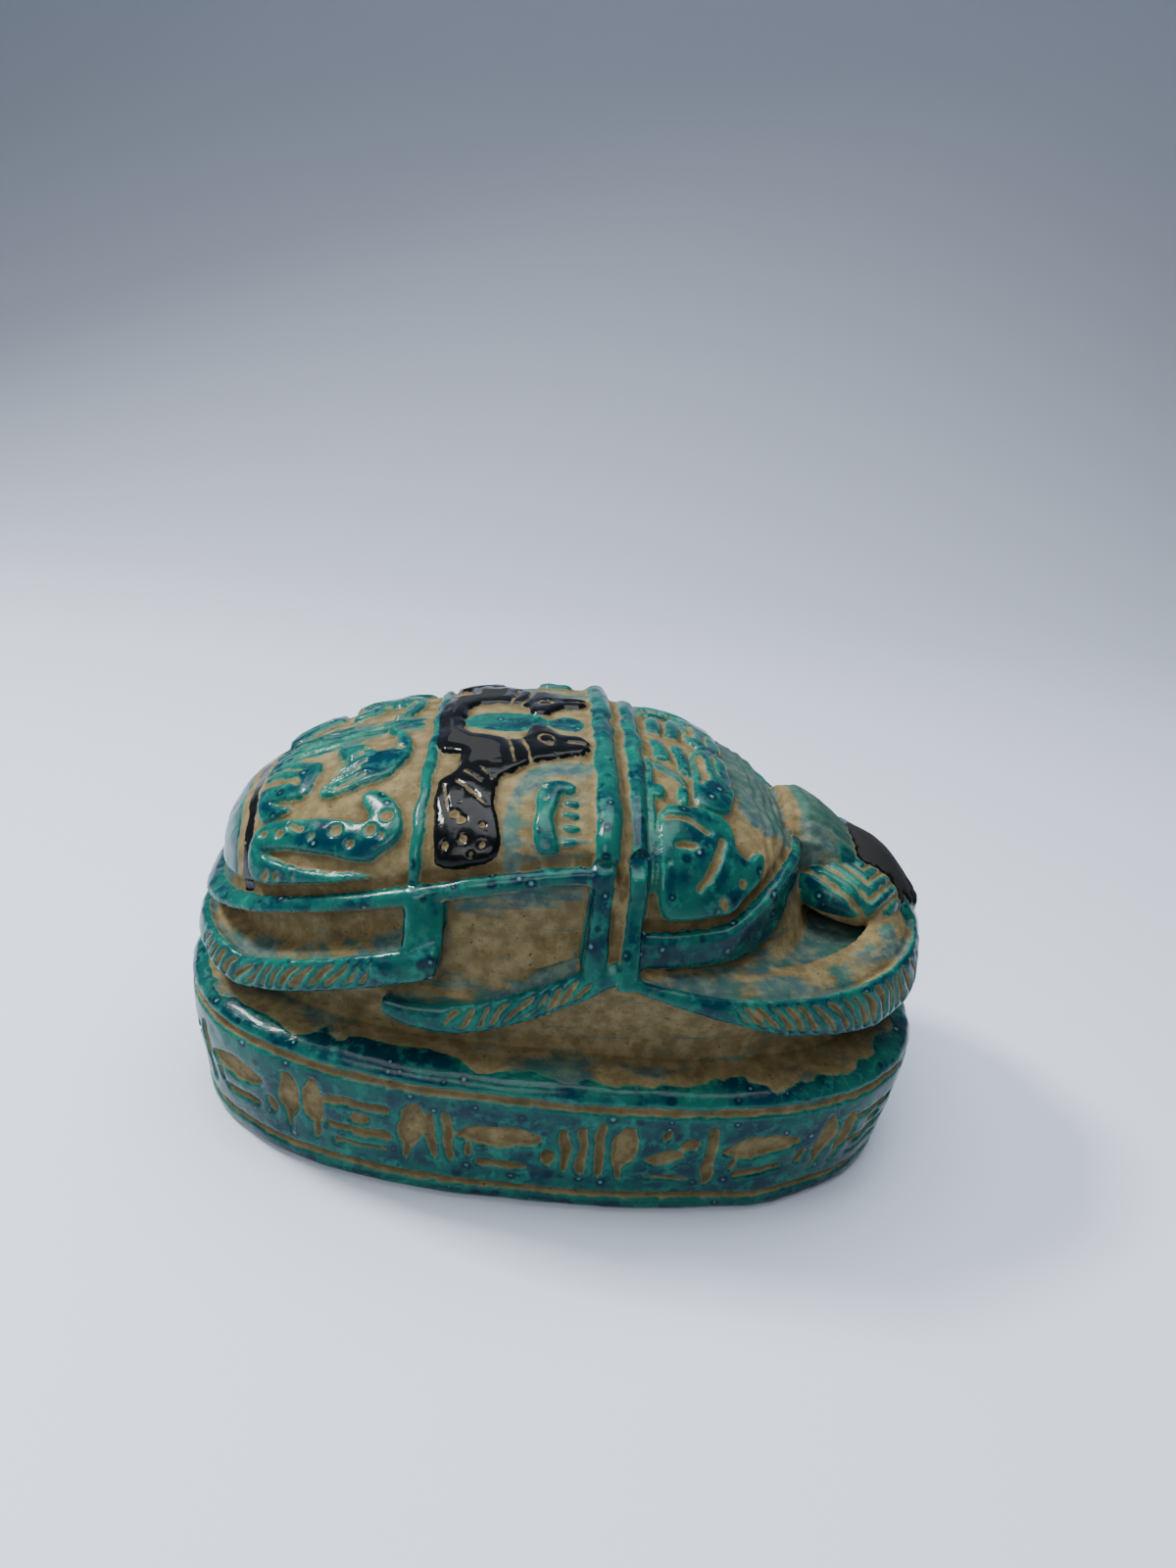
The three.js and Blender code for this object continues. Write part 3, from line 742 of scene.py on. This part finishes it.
def brushBack():
    laid = [fadeIn(stroke(bx, bd, *start, *end, 1.3), 0.7) for start, end in zip(arch, arch[1:])]
    laid.append(0.6 * fadeIn(stroke(bx, bd, -1.0, 7, -0.8, 26, 0.5), 0.7))
    for share, softness, outline in brushedAreas:
        laid.append(share * fadeIn(insideOutline(bx, bd, outline), softness))
    laid.append(0.85 * ease(27, 34, bx) * (1 - ease(11, 15, bd)))
    laid.append(0.8 * ease(-59.6, -61, bx))
    wash[isBack] = np.maximum.reduce(laid)


def combBack():
    # fine combed lines along the crest behind, and across the thorax in front
    behind = 0.22 * np.sin(bd * 2.6 + 0.7 * bx) * fadeIn(insideOutline(bx, bd, combedCrest), 1)
    relief[isBack] += behind + 0.16 * np.sin(bx * 3.2) * ease(30, 33, bx)


def cutChannel():
    # a channel between the rim and the figures, crossed by the ridges and the divider
    channel = back["channel"] - np.abs(pz - rimTop(px) - 0.9)
    across = np.maximum(1.9 - np.abs(px - 3.65), 1.5 - np.abs(px - 8.95))
    across = fadeIn(np.maximum(across, 0.9 - np.abs(px + 26.4)), 0.25)
    relief[isBack] -= (depth["channel"] * fadeIn(channel, 0.7) * (1 - across))[isBack]
    clear = isBack & (across <= 0.5)
    glaze[clear] = np.minimum(glaze, -channel)[clear]
    sunk = isBack & (channel > 0) & (across < 0.5)
    relief[sunk] = np.minimum(relief, -0.2)[sunk]


def paintSides():
    # the groove between the two ridges runs on down the side, bare of glaze
    gutter = 1.15 - np.abs(px - 6.5)
    isRim, isPost, isPanel = within("rim"), within("post"), within("panel")
    glaze[isRim] = np.where(gutter > 0, -1, fullGlaze)[isRim]
    glaze[isPost] = np.where(gutter > -0.2, -gutter, fullGlaze)[isPost]
    near = ease(8, 0.5, rimLow(px) - pz)
    wash[isPanel] = (0.25 + 0.6 * near * (ease(-21, -17, px) - ease(0, 3, px)))[isPanel]
    wash[isPanel] += (0.3 * near * ease(12, 18, px))[isPanel]


def cutLeg(leg, mine):
    # slanting cuts across the lower band, a groove above it, and thin brushed colour on top
    outerX = ovalPoint(inset(leg["overhang"]), polar)[0]
    share = (pz - leg["lower"](outerX)) / leg["band"](outerX)
    step = (run - leg["slant"] * (share - 0.5) - 0.8 * waves(points, 12, 31)) / leg["pitch"]
    lineGap = np.abs(step - np.round(step)) * leg["pitch"]
    reach = ease(leg["cutFrom"], leg["cutFrom"] + 3, run) * (1 - ease(leg["cutTo"] - 2, leg["cutTo"], run))
    tall = ease(0.02, 0.2, share) * (1 - ease(0.82, 0.95, share))
    thick = (0.58 + 0.16 * waves(points, 7, 41)) * tall
    cut = np.where(reach * tall > 0.05, thick * reach - lineGap, -1)
    onTop, outerGap = share > 0.9, fromOval(leg["overhang"])
    groove = 0.55 - np.abs(outerGap - 2.8)
    band = np.where(share < 0.93, np.minimum(-cut * 1.1, 1.4), -0.9)
    topStripe = np.where(outerGap < 2.2, 1.1 - np.abs(outerGap - 0.9), -1.3)
    glaze[mine] = np.minimum(np.where(onTop, topStripe, band), -groove)[mine]
    sunk = depth["legCut"] * fadeIn(cut) + depth["legGroove"] * fadeIn(groove) * onTop
    relief[mine] = -sunk[mine]
    brushed = 0.75 + 0.35 * clouds(points, 11, 42, 3)
    wash[mine] = (brushed * onTop * ease(10, 5, outerGap))[mine]


def cutLegs():
    # from x = -31 to -21 the rear leg passes over the middle one
    isLeg, parting = within("leg"), 40.2
    cutLeg(legs["rear"], isLeg & (px < -20.8) & ~((px > -31) & (pz < parting)))
    cutLeg(legs["middle"], isLeg & (px > -31.5) & (px < 9.9) & ~((px < -21.2) & (pz > parting)))
    cutLeg(legs["front"], isLeg & (px > 9.9))


# how wide the shoulder's glazed band is at places along the base
shoulderGlaze = {
    "at": [-62, -45, -30, -14, 2, 20, 30, 38, 56], "width": [3.2, 5.6, 7.4, 6, 3.8, 3.4, 6.4, 4.6, 6],
}


def glazeShoulder():
    # an outer band of glaze, worn away unevenly towards the neck
    edgeGap, isShoulder = fromOval(0), within("shoulder")
    bandWidth = np.interp(px, shoulderGlaze["at"], shoulderGlaze["width"])
    worn = 0.8 * bandWidth + 1.3 * clouds(points, 12, 51, 5) - edgeGap
    glaze[isShoulder] = np.clip(0.8 * worn, bareClay, 1.2)[isShoulder]
    wash[isShoulder] = (0.42 + 0.3 * clouds(points, 14, 57, 3) * ease(9, 3, edgeGap))[isShoulder]


def cutWallLines():
    # glaze all round the base, and two cut lines
    isWall, isBase = within("wall", "foot"), within("wall", "foot", "shoulder")
    glaze[isWall] = 1.8
    wash[isWall] = 0.12
    for lineHeight in (base["wallFoot"], base["wallTop"]):
        uneven = lineHeight + 0.12 * waves(points, 16, 61)
        line = base["lineHalf"] + 0.08 * waves(points, 4, 62) - np.abs(pz - uneven)
        relief[isBase] -= (base["lineDepth"] * fadeIn(line, 0.4))[isBase]
        glaze[isBase] = np.minimum(glaze, -line * 1.2)[isBase]


# each kind of mark on the wall: its width along the row, and its strokes as
# (start along, start height, end along, end height, half width, taper)
marks = {
    "lens": (5.6, [(0, -3.6, 0.3, 5.0, 1.6, 0.6), (-0.2, -6, 0, -3, 0.4, 0.1)]),
    "upright": (3.2, [(0, -5.4, 0, 5.2, 0.62, 0.1)]),
    "pair": (6.4, [(-1.4, -4.8, -1.6, 4.2, 0.6, 0.1), (1.4, -4.6, 1.2, 4.8, 0.6, 0.1)]),
    "long": (15.5, [(-6.4, 1.0, 6.2, 1.8, 1.7, 0.6), (-4.4, -1.4, -4.6, -3.2, 0.45, 0.1),
                    (-3.2, -4.4, 4.8, -4.2, 0.6, 0.2)]),
    "dot": (3.8, [(0, -3.4, 0.2, -1.4, 0.85, 0.2)]),
    "bars": (13, [(-5.2, 3.4, 5.2, 3.6, 0.65, 0.1), (-5.2, -2.2, 5.2, -2.0, 0.65, 0.1),
                  (-1.6, 0.6, 1.8, 0.8, 0.8, 0.6), (-5, -5.4, 4.6, -5.3, 0.4, 0.3)]),
    "leaning": (6.4, [(-0.2, -3.4, 1.8, 5.0, 1.6, 0.6), (-0.4, -6, -0.3, -3, 0.4, 0.1)]),
    "staff": (5, [(0.4, -6, -0.4, 5.6, 0.8, 0.2)]),
    "scatter": (12, [(-4, -1.4, 1.8, 0.4, 1.2, 0.6), (2.6, 2.2, 4.2, 2.8, 0.9, 0.3),
                     (-3.4, -4.8, 4.4, -5.2, 0.45, 0.4), (-1.2, 3.6, -0.9, 5.2, 0.6, 0.2)]),
}
rowOrder = ["pair", "upright", "lens", "scatter", "staff", "long", "dot", "lens", "lens", "bars",
            "leaning", "pair", "long", "dot"]


def cutStrokes():
    # plain strokes in rows, between the two lines, all round the base
    isRow = within("wall", "foot") & (pz > base["wallFoot"] + 0.3) & (pz < base["wallTop"] - 0.2)
    halfRun = ringRun[-1]
    # the run along the whole outline grows from the tail along the near side, and back along the far
    wholeRun = np.where(py < 0, run + ringMiddle, 2 * halfRun - (run + ringMiddle))
    wholeRun = wholeRun + 0.3 * waves(points, 7, 71)
    middleHeight = 13.9 + 0.25 * waves(points, 6, 72)
    rowLength = sum(marks[name][0] for name in rowOrder)
    rounds = round(2 * halfRun / rowLength)
    spread = 2 * halfRun / (rowLength * rounds)
    strokes = np.full(count, -9.0)
    place = 0.0
    for name in rowOrder * rounds:
        width, lines = marks[name]
        centre = place + width * spread / 2
        place += width * spread
        close = isRow & (np.abs(wholeRun - centre) < width)
        along, tall = wholeRun[close] - centre, pz[close] - middleHeight[close]
        for x1, z1, x2, z2, half, taper in lines:
            away, t = lineAway(along, tall, x1, z1, x2, z2)
            swell = 1.3 * half * (1 - taper * np.abs(2 * t - 1.1) ** 2.6)
            strokes[close] = np.maximum(strokes[close], swell - away)
    relief[isRow] -= (depth["stroke"] * fadeIn(strokes))[isRow]
    glaze[isRow] = np.minimum(glaze, -strokes * 1.2)[isRow]


def paintHead():
    # thin grey colour with fine lengthwise lines, and a groove behind
    isHead = within("head")
    wash[isHead] = (0.9 - 0.75 * ease(42.4, 40.6, px))[isHead]
    glaze[isHead] = (0.35 * ease(7.5, 10.5, ay) - 0.8 + 1.4 * ease(47, 53, px) * ease(5, 11, ay))[isHead]
    combed = np.abs(np.sin(ay * 1.25 + 0.05 * np.maximum(0, px - 40) ** 1.5)) ** 3
    collar = fadeIn(1.3 - np.abs(px - 41.6), 0.6)
    relief[isHead] = (-depth["headLine"] * combed - depth["collar"] * collar)[isHead]


def cutLobes():
    # nested arrowhead grooves, pointing sideways, on the upper part of each eye shell
    isLobe = within("lobe")
    arrow = np.abs(px - 54) / 14 + 0.5 * (ay - 11.5) / 9.2 + 0.5 * (56.5 - pz) / 9
    line = 0.17 - np.abs((arrow * 3.6 + 0.1) % 1 - 0.5) + 0.04 * waves(points, 4, 81)
    line = np.where((arrow < 1.1) & (arrow > 0.05), line, -1)
    under = ease(49.6, 48.6, pz) > 0.4
    glaze[isLobe] = np.where(under, -1, np.minimum(-line * 2.2, 1.5))[isLobe]
    relief[isLobe] = (-depth["lobe"] * fadeIn(line * 2))[isLobe]


def paintPlainForms():
    isLedge = within("ledge")
    wash[isLedge] = (0.4 + 0.4 * ease(12, 20, px))[isLedge]
    wash[within("neck")] = 0.3
    ink[within("plate")] = 2.0
    glaze[within("jaw")] = 0.9
    wash[within("jaw")] = 0.8


def bareUnderside():
    glaze[pz < 0.25] = bareClay
    wash[pz < 0.25] = 0.45


raiseFigures()
glazeCrestAndTail()
brushBack()
combBack()
cutChannel()
paintSides()
cutLegs()
glazeShoulder()
cutWallLines()
cutStrokes()
paintHead()
cutLobes()
paintPlainForms()
bareUnderside()
print("relief and glaze laid out")


def softHollows():
    # soft hollows where the sides meet the legs, the rim and the shoulder
    cove = np.sum((softened(points, 45) - points) * normalsOf(softened(points, 3)), axis=1)
    soft = within("panel", "ledge", "neck") | (within("leg") & (wash > 0.02))
    return softened(np.clip(cove, 0, 1.5) * soft, 2)


def panelSlope():
    # the lower part of the middle side panel slopes out onto the leg under it
    legTop = legs["middle"]["lower"](px) + legs["middle"]["band"](px)
    slope = ease(0, 1, (legTop + 8 - pz) / 8) * ease(-24, -16, px) * ease(1.5, -2, px)
    return softened(np.where(within("panel"), 2.6 * slope, 0), 40)


def shapedPoints():
    # the skin with its relief and an uneven handmade surface, flat underneath
    raised = (softened(relief, 1) + softHollows() + panelSlope()) * ease(0.05, 1.2, pz)
    uneven = (0.14 * waves(points, 15, 91) + 0.045 * waves(points, 4.5, 92)) * ease(0.1, 1.5, pz)
    fairShare = softened(within("back", "head").astype(float), 3)[:, None]
    fair = points + (softened(points, 9) - points) * fairShare
    shaped = fair + normalsOf(softened(points, 6)) * (raised + uneven)[:, None]
    shaped[:, 2] = np.maximum(shaped[:, 2], 0)
    return shaped


def keepLayers(shaped):
    # stored on the skin for the material; crown is high on fine edges, hollow in broad dips, and both darken
    # bare clay in dips and creases as painted shade
    normals = normalsOf(shaped)
    fine = np.sum((shaped - softened(shaped, 5)) * normals, axis=1)
    broad = np.sum((shaped - softened(shaped, 60)) * normals, axis=1)
    layers = {
        "glaze": softened(glaze, 2), "ink": softened(ink, 1), "wash": np.clip(softened(wash, 6), 0, 1),
        "crown": np.clip(fine / 0.16, -1, 1), "hollow": np.clip(-broad / 0.9, -1, 1),
    }
    for name, values in layers.items():
        layer = skin.attributes.new(name, "FLOAT", "POINT")
        layer.data.foreach_set("value", values.astype(np.float32))


def finishedCarving(shaped):
    # the shaped skin in metres, thinned to its share of triangles
    skin.vertices.foreach_set("co", (shaped * mm).ravel())
    skin.update()
    carved = placed("carved", skin)
    thin = carved.modifiers.new("thin", "DECIMATE")
    thin.ratio = carving["triangles"] / (2 * len(skin.polygons))
    thin.use_collapse_triangulate = True
    finished = modified(carved)
    finished.name = "carvedScarab"
    for face in finished.polygons:
        face.use_smooth = True
    return finished


shaped = shapedPoints()
keepLayers(shaped)
finished = finishedCarving(shaped)
scarab = placed("carvedScarab", finished)
print("carved scarab has", len(finished.polygons), "triangles")


# shader helpers

def put(tree, kind, feeds=None, **settings):
    made = tree.nodes.new(kind)
    for name, value in settings.items():
        setattr(made, name, value)
    for name, value in (feeds or {}).items():
        if isinstance(value, bpy.types.NodeSocket):
            tree.links.new(value, made.inputs[name])
        else:
            made.inputs[name].default_value = value
    return made


def calc(tree, operation, *values, clamp=False):
    feeds = dict(enumerate(values))
    return put(tree, "ShaderNodeMath", feeds, operation=operation, use_clamp=clamp).outputs[0]


def fade(tree, value, start, end, low=0.0, high=1.0):
    feeds = {"Value": value, "From Min": start, "From Max": end, "To Min": low, "To Max": high}
    return put(tree, "ShaderNodeMapRange", feeds, interpolation_type="SMOOTHSTEP").outputs[0]


def blended(tree, share, first, second):
    return put(tree, "ShaderNodeMix", {0: share, 6: first, 7: second}, data_type="RGBA").outputs[2]


def noise(tree, vector, size, detail=3.0, rough=0.55, stretch=(1, 1, 1)):
    # size is the width of a blotch in millimetres
    scale = [one / (size * mm) for one in stretch]
    mapped = put(tree, "ShaderNodeMapping", {"Vector": vector, "Scale": scale})
    feeds = {"Vector": mapped.outputs[0], "Scale": 1.0, "Detail": detail, "Roughness": rough}
    return put(tree, "ShaderNodeTexNoise", feeds).outputs["Fac"]


def newGroup(name, entries, results):
    group = bpy.data.node_groups.new(name, "ShaderNodeTree")
    for way, sockets in (("INPUT", entries), ("OUTPUT", results)):
        for label, kind in sockets.items():
            group.interface.new_socket(name=label, in_out=way, socket_type="NodeSocket" + kind)
    leave = group.nodes.new("NodeGroupOutput")
    return group, group.nodes.new("NodeGroupInput").outputs, leave.inputs


def pinholeGroup():
    # small burst bubbles: a pale middle in a dark ring
    group, entry, leave = newGroup(
        "pinholes", {"Vector": "Vector", "Spacing": "Float"}, {"Ring": "Float", "Middle": "Float"})
    scaled = calc(group, "DIVIDE", 1 / mm, entry["Spacing"])
    cells = put(group, "ShaderNodeTexVoronoi", {"Vector": entry["Vector"], "Scale": scaled})
    away = calc(group, "MULTIPLY", cells.outputs["Distance"], entry["Spacing"])
    share = calc(group, "DIVIDE", away, fade(group, cells.outputs["Color"], 0, 1, 0.75, 1.5))
    outer = fade(group, share, 0.55, 1.0, 1, 0)
    middle = fade(group, share, 0.16, 0.4, 1, 0)
    group.links.new(calc(group, "SUBTRACT", outer, middle, clamp=True), leave["Ring"])
    group.links.new(middle, leave["Middle"])
    return group


def roughEdgeGroup():
    # a mask from a signed distance in millimetres, its edge broken up by noise
    group, entry, leave = newGroup(
        "roughEdge", {"Distance": "Float", "Vector": "Vector", "Fray": "Float"},
        {"Mask": "Float", "Inside": "Float"})
    coarse = calc(group, "SUBTRACT", noise(group, entry["Vector"], 1.9, 4), 0.5)
    frayed = calc(group, "MULTIPLY", coarse, entry["Fray"])
    inside = calc(group, "MULTIPLY_ADD", frayed, 2.2, entry["Distance"])
    group.links.new(fade(group, inside, -0.12, 0.12), leave["Mask"])
    group.links.new(inside, leave["Inside"])
    return group


# the darkest clay colour serves for blotches and worn specks, and also as painted shade in hollows and
# creases
stone = {
    "clay": (0.108, 0.083, 0.038, 1), "clayPale": (0.18, 0.144, 0.073, 1), "clayDarkAndShade": (0.03, 0.02, 0.007, 1),
    "dirt": (0.012, 0.009, 0.005, 1),
    "glazeDeep": (0.001, 0.02, 0.034, 1), "glazeBody": (0.003, 0.07, 0.056, 1),
    "glazeBright": (0.007, 0.145, 0.107, 1), "glazeEdge": (0.05, 0.165, 0.1, 1),
    "burst": (0.0008, 0.01, 0.022, 1), "burstPale": (0.06, 0.19, 0.2, 1),
    "washBlue": (0.014, 0.055, 0.068, 1), "washPale": (0.065, 0.11, 0.09, 1),
    "inkGlaze": (0.0018, 0.0024, 0.003, 1), "inkPlate": (0.013, 0.0135, 0.0135, 1),
    "inkBloom": (0.012, 0.016, 0.022, 1),
}


def scarabMaterial():
    material = bpy.data.materials.new("wornTurquoiseGlaze")
    material.use_nodes = True
    tree = material.node_tree
    tree.nodes.clear()
    here = put(tree, "ShaderNodeTexCoord").outputs["Object"]
    edgeKind = roughEdgeGroup()

    def layer(name):
        return put(tree, "ShaderNodeAttribute", attribute_name=name).outputs["Fac"]

    def edged(name, fray):
        feeds = {"Distance": layer(name), "Vector": here, "Fray": fray}
        return put(tree, "ShaderNodeGroup", feeds, node_tree=edgeKind).outputs

    def times(first, second):
        return calc(tree, "MULTIPLY", first, second)

    def layered(color, steps):
        # colours laid one over another; each grows to its share as a value runs from start to end
        for value, start, end, share, name in steps:
            color = blended(tree, fade(tree, value, start, end, 0, share), color, stone[name])
        return color

    crown, hollow, washLayer = layer("crown"), layer("hollow"), layer("wash")
    fineNoise = noise(tree, here, 0.5, 4, 0.6)
    blotch = noise(tree, here, 7.5, 4, 0.6)
    cloud = noise(tree, here, 2.6, 5, 0.62)
    streak = noise(tree, here, 3.2, 4, 0.6, (0.35, 0.35, 3.2))
    glazeEdge = edged("glaze", 0.4)
    glazeMask, glazeInside = glazeEdge["Mask"], glazeEdge["Inside"]
    inkMask = edged("ink", 0.34)["Mask"]

    # bare clay with blotches and small dirt specks, and painted shade that darkens it in broad hollows and
    # fine creases
    clay = layered(stone["clay"], [
        (cloud, 0.35, 0.7, 1, "clayPale"), (blotch, 0.52, 0.75, 0.5, "clayDarkAndShade"),
        # painted shade: the clay darkens in broad dips and in creases
        (hollow, 0, 0.75, 0.45, "clayDarkAndShade"), (crown, -0.15, -0.9, 0.3, "clayDarkAndShade"),
        (noise(tree, here, 0.8, 3, 0.7), 0.62, 0.7, 0.75, "dirt"),
    ])

    # thin dry-brushed colour over the clay
    brushed = calc(tree, "ADD", washLayer, calc(tree, "MULTIPLY_ADD", streak, 1.6, -1.05))
    washMask = times(fade(tree, brushed, 0.12, 0.5), fade(tree, washLayer, 0.02, 0.2))
    washColor = layered(stone["washBlue"], [
        (cloud, 0.4, 0.66, 1, "washPale"), (blotch, 0.45, 0.62, 0.75, "glazeBody"),
    ])
    ground = blended(tree, times(washMask, 0.85), clay, washColor)

    # the glaze: deep where it pools, bright and greenish where it thins at edges
    glazeColor = layered(stone["glazeDeep"], [
        (blotch, 0.4, 0.62, 1, "glazeBody"), (cloud, 0.5, 0.74, 0.8, "glazeBright"),
        (crown, 0.1, 0.9, 0.35, "glazeBright"),
    ])
    glazeColor = blended(tree, fade(tree, glazeInside, 0, 0.4, 0.5, 0), glazeColor, stone["glazeEdge"])
    spots = put(tree, "ShaderNodeGroup", {"Vector": here, "Spacing": 3.4}, node_tree=pinholeGroup()).outputs
    wellInside = fade(tree, glazeInside, 0.3, 0.9)
    for part, share, name in (("Ring", 0.9, "burst"), ("Middle", 0.8, "burstPale")):
        glazeColor = blended(tree, times(times(spots[part], wellInside), share), glazeColor, stone[name])
    glazeColor = layered(glazeColor, [(noise(tree, here, 1.3, 5, 0.7), 0.61, 0.7, 0.7, "clayDarkAndShade")])

    plateShare = fade(tree, layer("ink"), 1.9, 2.0)
    inkColor = blended(tree, plateShare, stone["inkGlaze"], stone["inkPlate"])
    inkColor = layered(inkColor, [(cloud, 0.55, 0.75, 0.35, "inkBloom")])
    color = blended(tree, glazeMask, ground, glazeColor)
    color = blended(tree, inkMask, color, inkColor)

    clayRough = fade(tree, fineNoise, 0.3, 0.7, 0.78, 0.95)
    rough = calc(tree, "MULTIPLY_ADD", washMask, -0.3, clayRough)
    glazeRough = fade(tree, cloud, 0.3, 0.8, 0.14, 0.4)
    inkRough = calc(tree, "MULTIPLY_ADD", plateShare, 0.55, 0.17)
    for mask, value in ((glazeMask, glazeRough), (inkMask, inkRough)):
        rough = put(tree, "ShaderNodeMix", {0: mask, 2: rough, 3: value}, data_type="FLOAT").outputs[0]

    # the glaze lies a little proud of the grainy clay, with a pit in each burst bubble
    anyGlaze = calc(tree, "MAXIMUM", glazeMask, inkMask)
    film = times(fade(tree, glazeInside, -0.1, 0.6), 0.5)
    height = calc(tree, "ADD", film, times(fineNoise, fade(tree, anyGlaze, 0, 1, 0.34, 0.05)))
    swells = [(noise(tree, here, 2.2, 2), 0.35), (streak, times(washMask, 0.25)),
              (spots["Middle"], times(anyGlaze, -0.5))]
    for value, share in swells:
        height = calc(tree, "MULTIPLY_ADD", value, share, height)
    bump = put(tree, "ShaderNodeBump", {"Height": height, "Strength": 0.6, "Distance": 0.35 * mm})

    coat = times(calc(tree, "SUBTRACT", anyGlaze, plateShare, clamp=True), 0.08)
    shader = put(tree, "ShaderNodeBsdfPrincipled", {
        "Base Color": color, "Roughness": rough, "Normal": bump.outputs[0], "Coat Weight": coat,
        "IOR": 1.45, "Specular IOR Level": 0.13, "Coat Roughness": 0.08,
    })
    put(tree, "ShaderNodeOutputMaterial", {"Surface": shader.outputs[0]}, is_active_output=True)
    return material


finished.materials.clear()
finished.materials.append(scarabMaterial())
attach(scarab, "root")
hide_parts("scarab")
print("glaze mixed")


# floor: a pale sheet that sweeps up behind

studio = {
    "floorColor": (0.56, 0.62, 0.745, 1), "halfWidth": 1.6, "front": -0.9, "bend": 0.42, "radius": 0.5,
    "top": 2.2, "sky": (0.8, 0.83, 0.86, 1), "skyStrength": 0.2,
}


def sweptFloor():
    net = bmesh.new()
    bend, radius = studio["bend"], studio["radius"]
    profile = [(studio["front"], 0), (0, 0), (bend, 0)]
    for i in range(1, 13):
        angle = math.pi / 2 * i / 12
        profile.append((bend + radius * math.sin(angle), radius * (1 - math.cos(angle))))
    profile.append((bend + radius, studio["top"]))
    chain = [net.verts.new((-studio["halfWidth"], y, z)) for y, z in profile]
    edges = [net.edges.new(pair) for pair in zip(chain, chain[1:])]
    swept = bmesh.ops.extrude_edge_only(net, edges=edges)
    moved = [item for item in swept["geom"] if isinstance(item, bmesh.types.BMVert)]
    bmesh.ops.translate(net, verts=moved, vec=(2 * studio["halfWidth"], 0, 0))
    bmesh.ops.recalc_face_normals(net, faces=net.faces)
    mesh = bpy.data.meshes.new("floor")
    net.to_mesh(mesh)
    net.free()
    for face in mesh.polygons:
        face.use_smooth = True
    floor = placed("floor", mesh)
    paper = bpy.data.materials.new("palePaper")
    paper.use_nodes = True
    shader = paper.node_tree.nodes["Principled BSDF"]
    shader.inputs["Base Color"].default_value = studio["floorColor"]
    shader.inputs["Roughness"].default_value = 0.6
    mesh.materials.append(paper)


def areaLight(name, place, aim, size, power, color, spread=180):
    lamp = bpy.data.lights.new(name, "AREA")
    lamp.shape = "RECTANGLE"
    lamp.size, lamp.size_y = size
    lamp.energy = power
    lamp.color = color
    lamp.spread = math.radians(spread)
    stand = placed(name, lamp)
    toward = (Vector(aim) - Vector(place)).normalized()
    stand.matrix_world = Matrix.Translation(place) @ toward.to_track_quat("-Z", "Y").to_matrix().to_4x4()


def studioLight():
    areaLight("keyLight", (-0.5, 0.16, 0.62), (0, 0, 0.03), (0.16, 0.12), 4.2, (1, 0.985, 0.96), 125)
    areaLight("topLight", (-0.02, 0.06, 0.85), (0, -0.08, 0), (0.9, 0.7), 6.3, (0.93, 0.96, 1), 126)
    areaLight("frontLight", (-0.25, -0.62, 0.5), (0, 0, 0.03), (0.5, 0.4), 0.9, (1, 0.99, 0.97), 90)
    areaLight("glintLight", (-0.3, -0.7, 0.5), (0, 0, 0.04), (0.03, 0.22), 0.15, (1, 1, 1))
    world = bpy.data.worlds.new("room")
    bpy.context.scene.world = world
    world.use_nodes = True
    sky = world.node_tree.nodes["Background"]
    sky.inputs["Color"].default_value = studio["sky"]
    sky.inputs["Strength"].default_value = studio["skyStrength"]


camera = {
    "place": (-0.01263, -0.20890, 0.14374), "forward": (0.06599, 0.92978, -0.36215),
    "up": (-0.09005, 0.36700, 0.92585), "lens": 27.05, "sensor": 36,
}


def setCamera():
    eye = bpy.data.cameras.new("camera")
    eye.lens = camera["lens"]
    eye.sensor_width = camera["sensor"]
    eye.sensor_fit = "AUTO"
    eye.clip_start = 0.01
    stand = placed("camera", eye)
    back = -Vector(camera["forward"]).normalized()
    right = Vector(camera["up"]).cross(back).normalized()
    up = back.cross(right)
    turn = Matrix((right, up, back)).transposed().to_4x4()
    stand.matrix_world = Matrix.Translation(Vector(camera["place"]) * mm * 1000) @ turn
    bpy.context.scene.camera = stand


sweptFloor()
studioLight()
setCamera()
print("studio set")
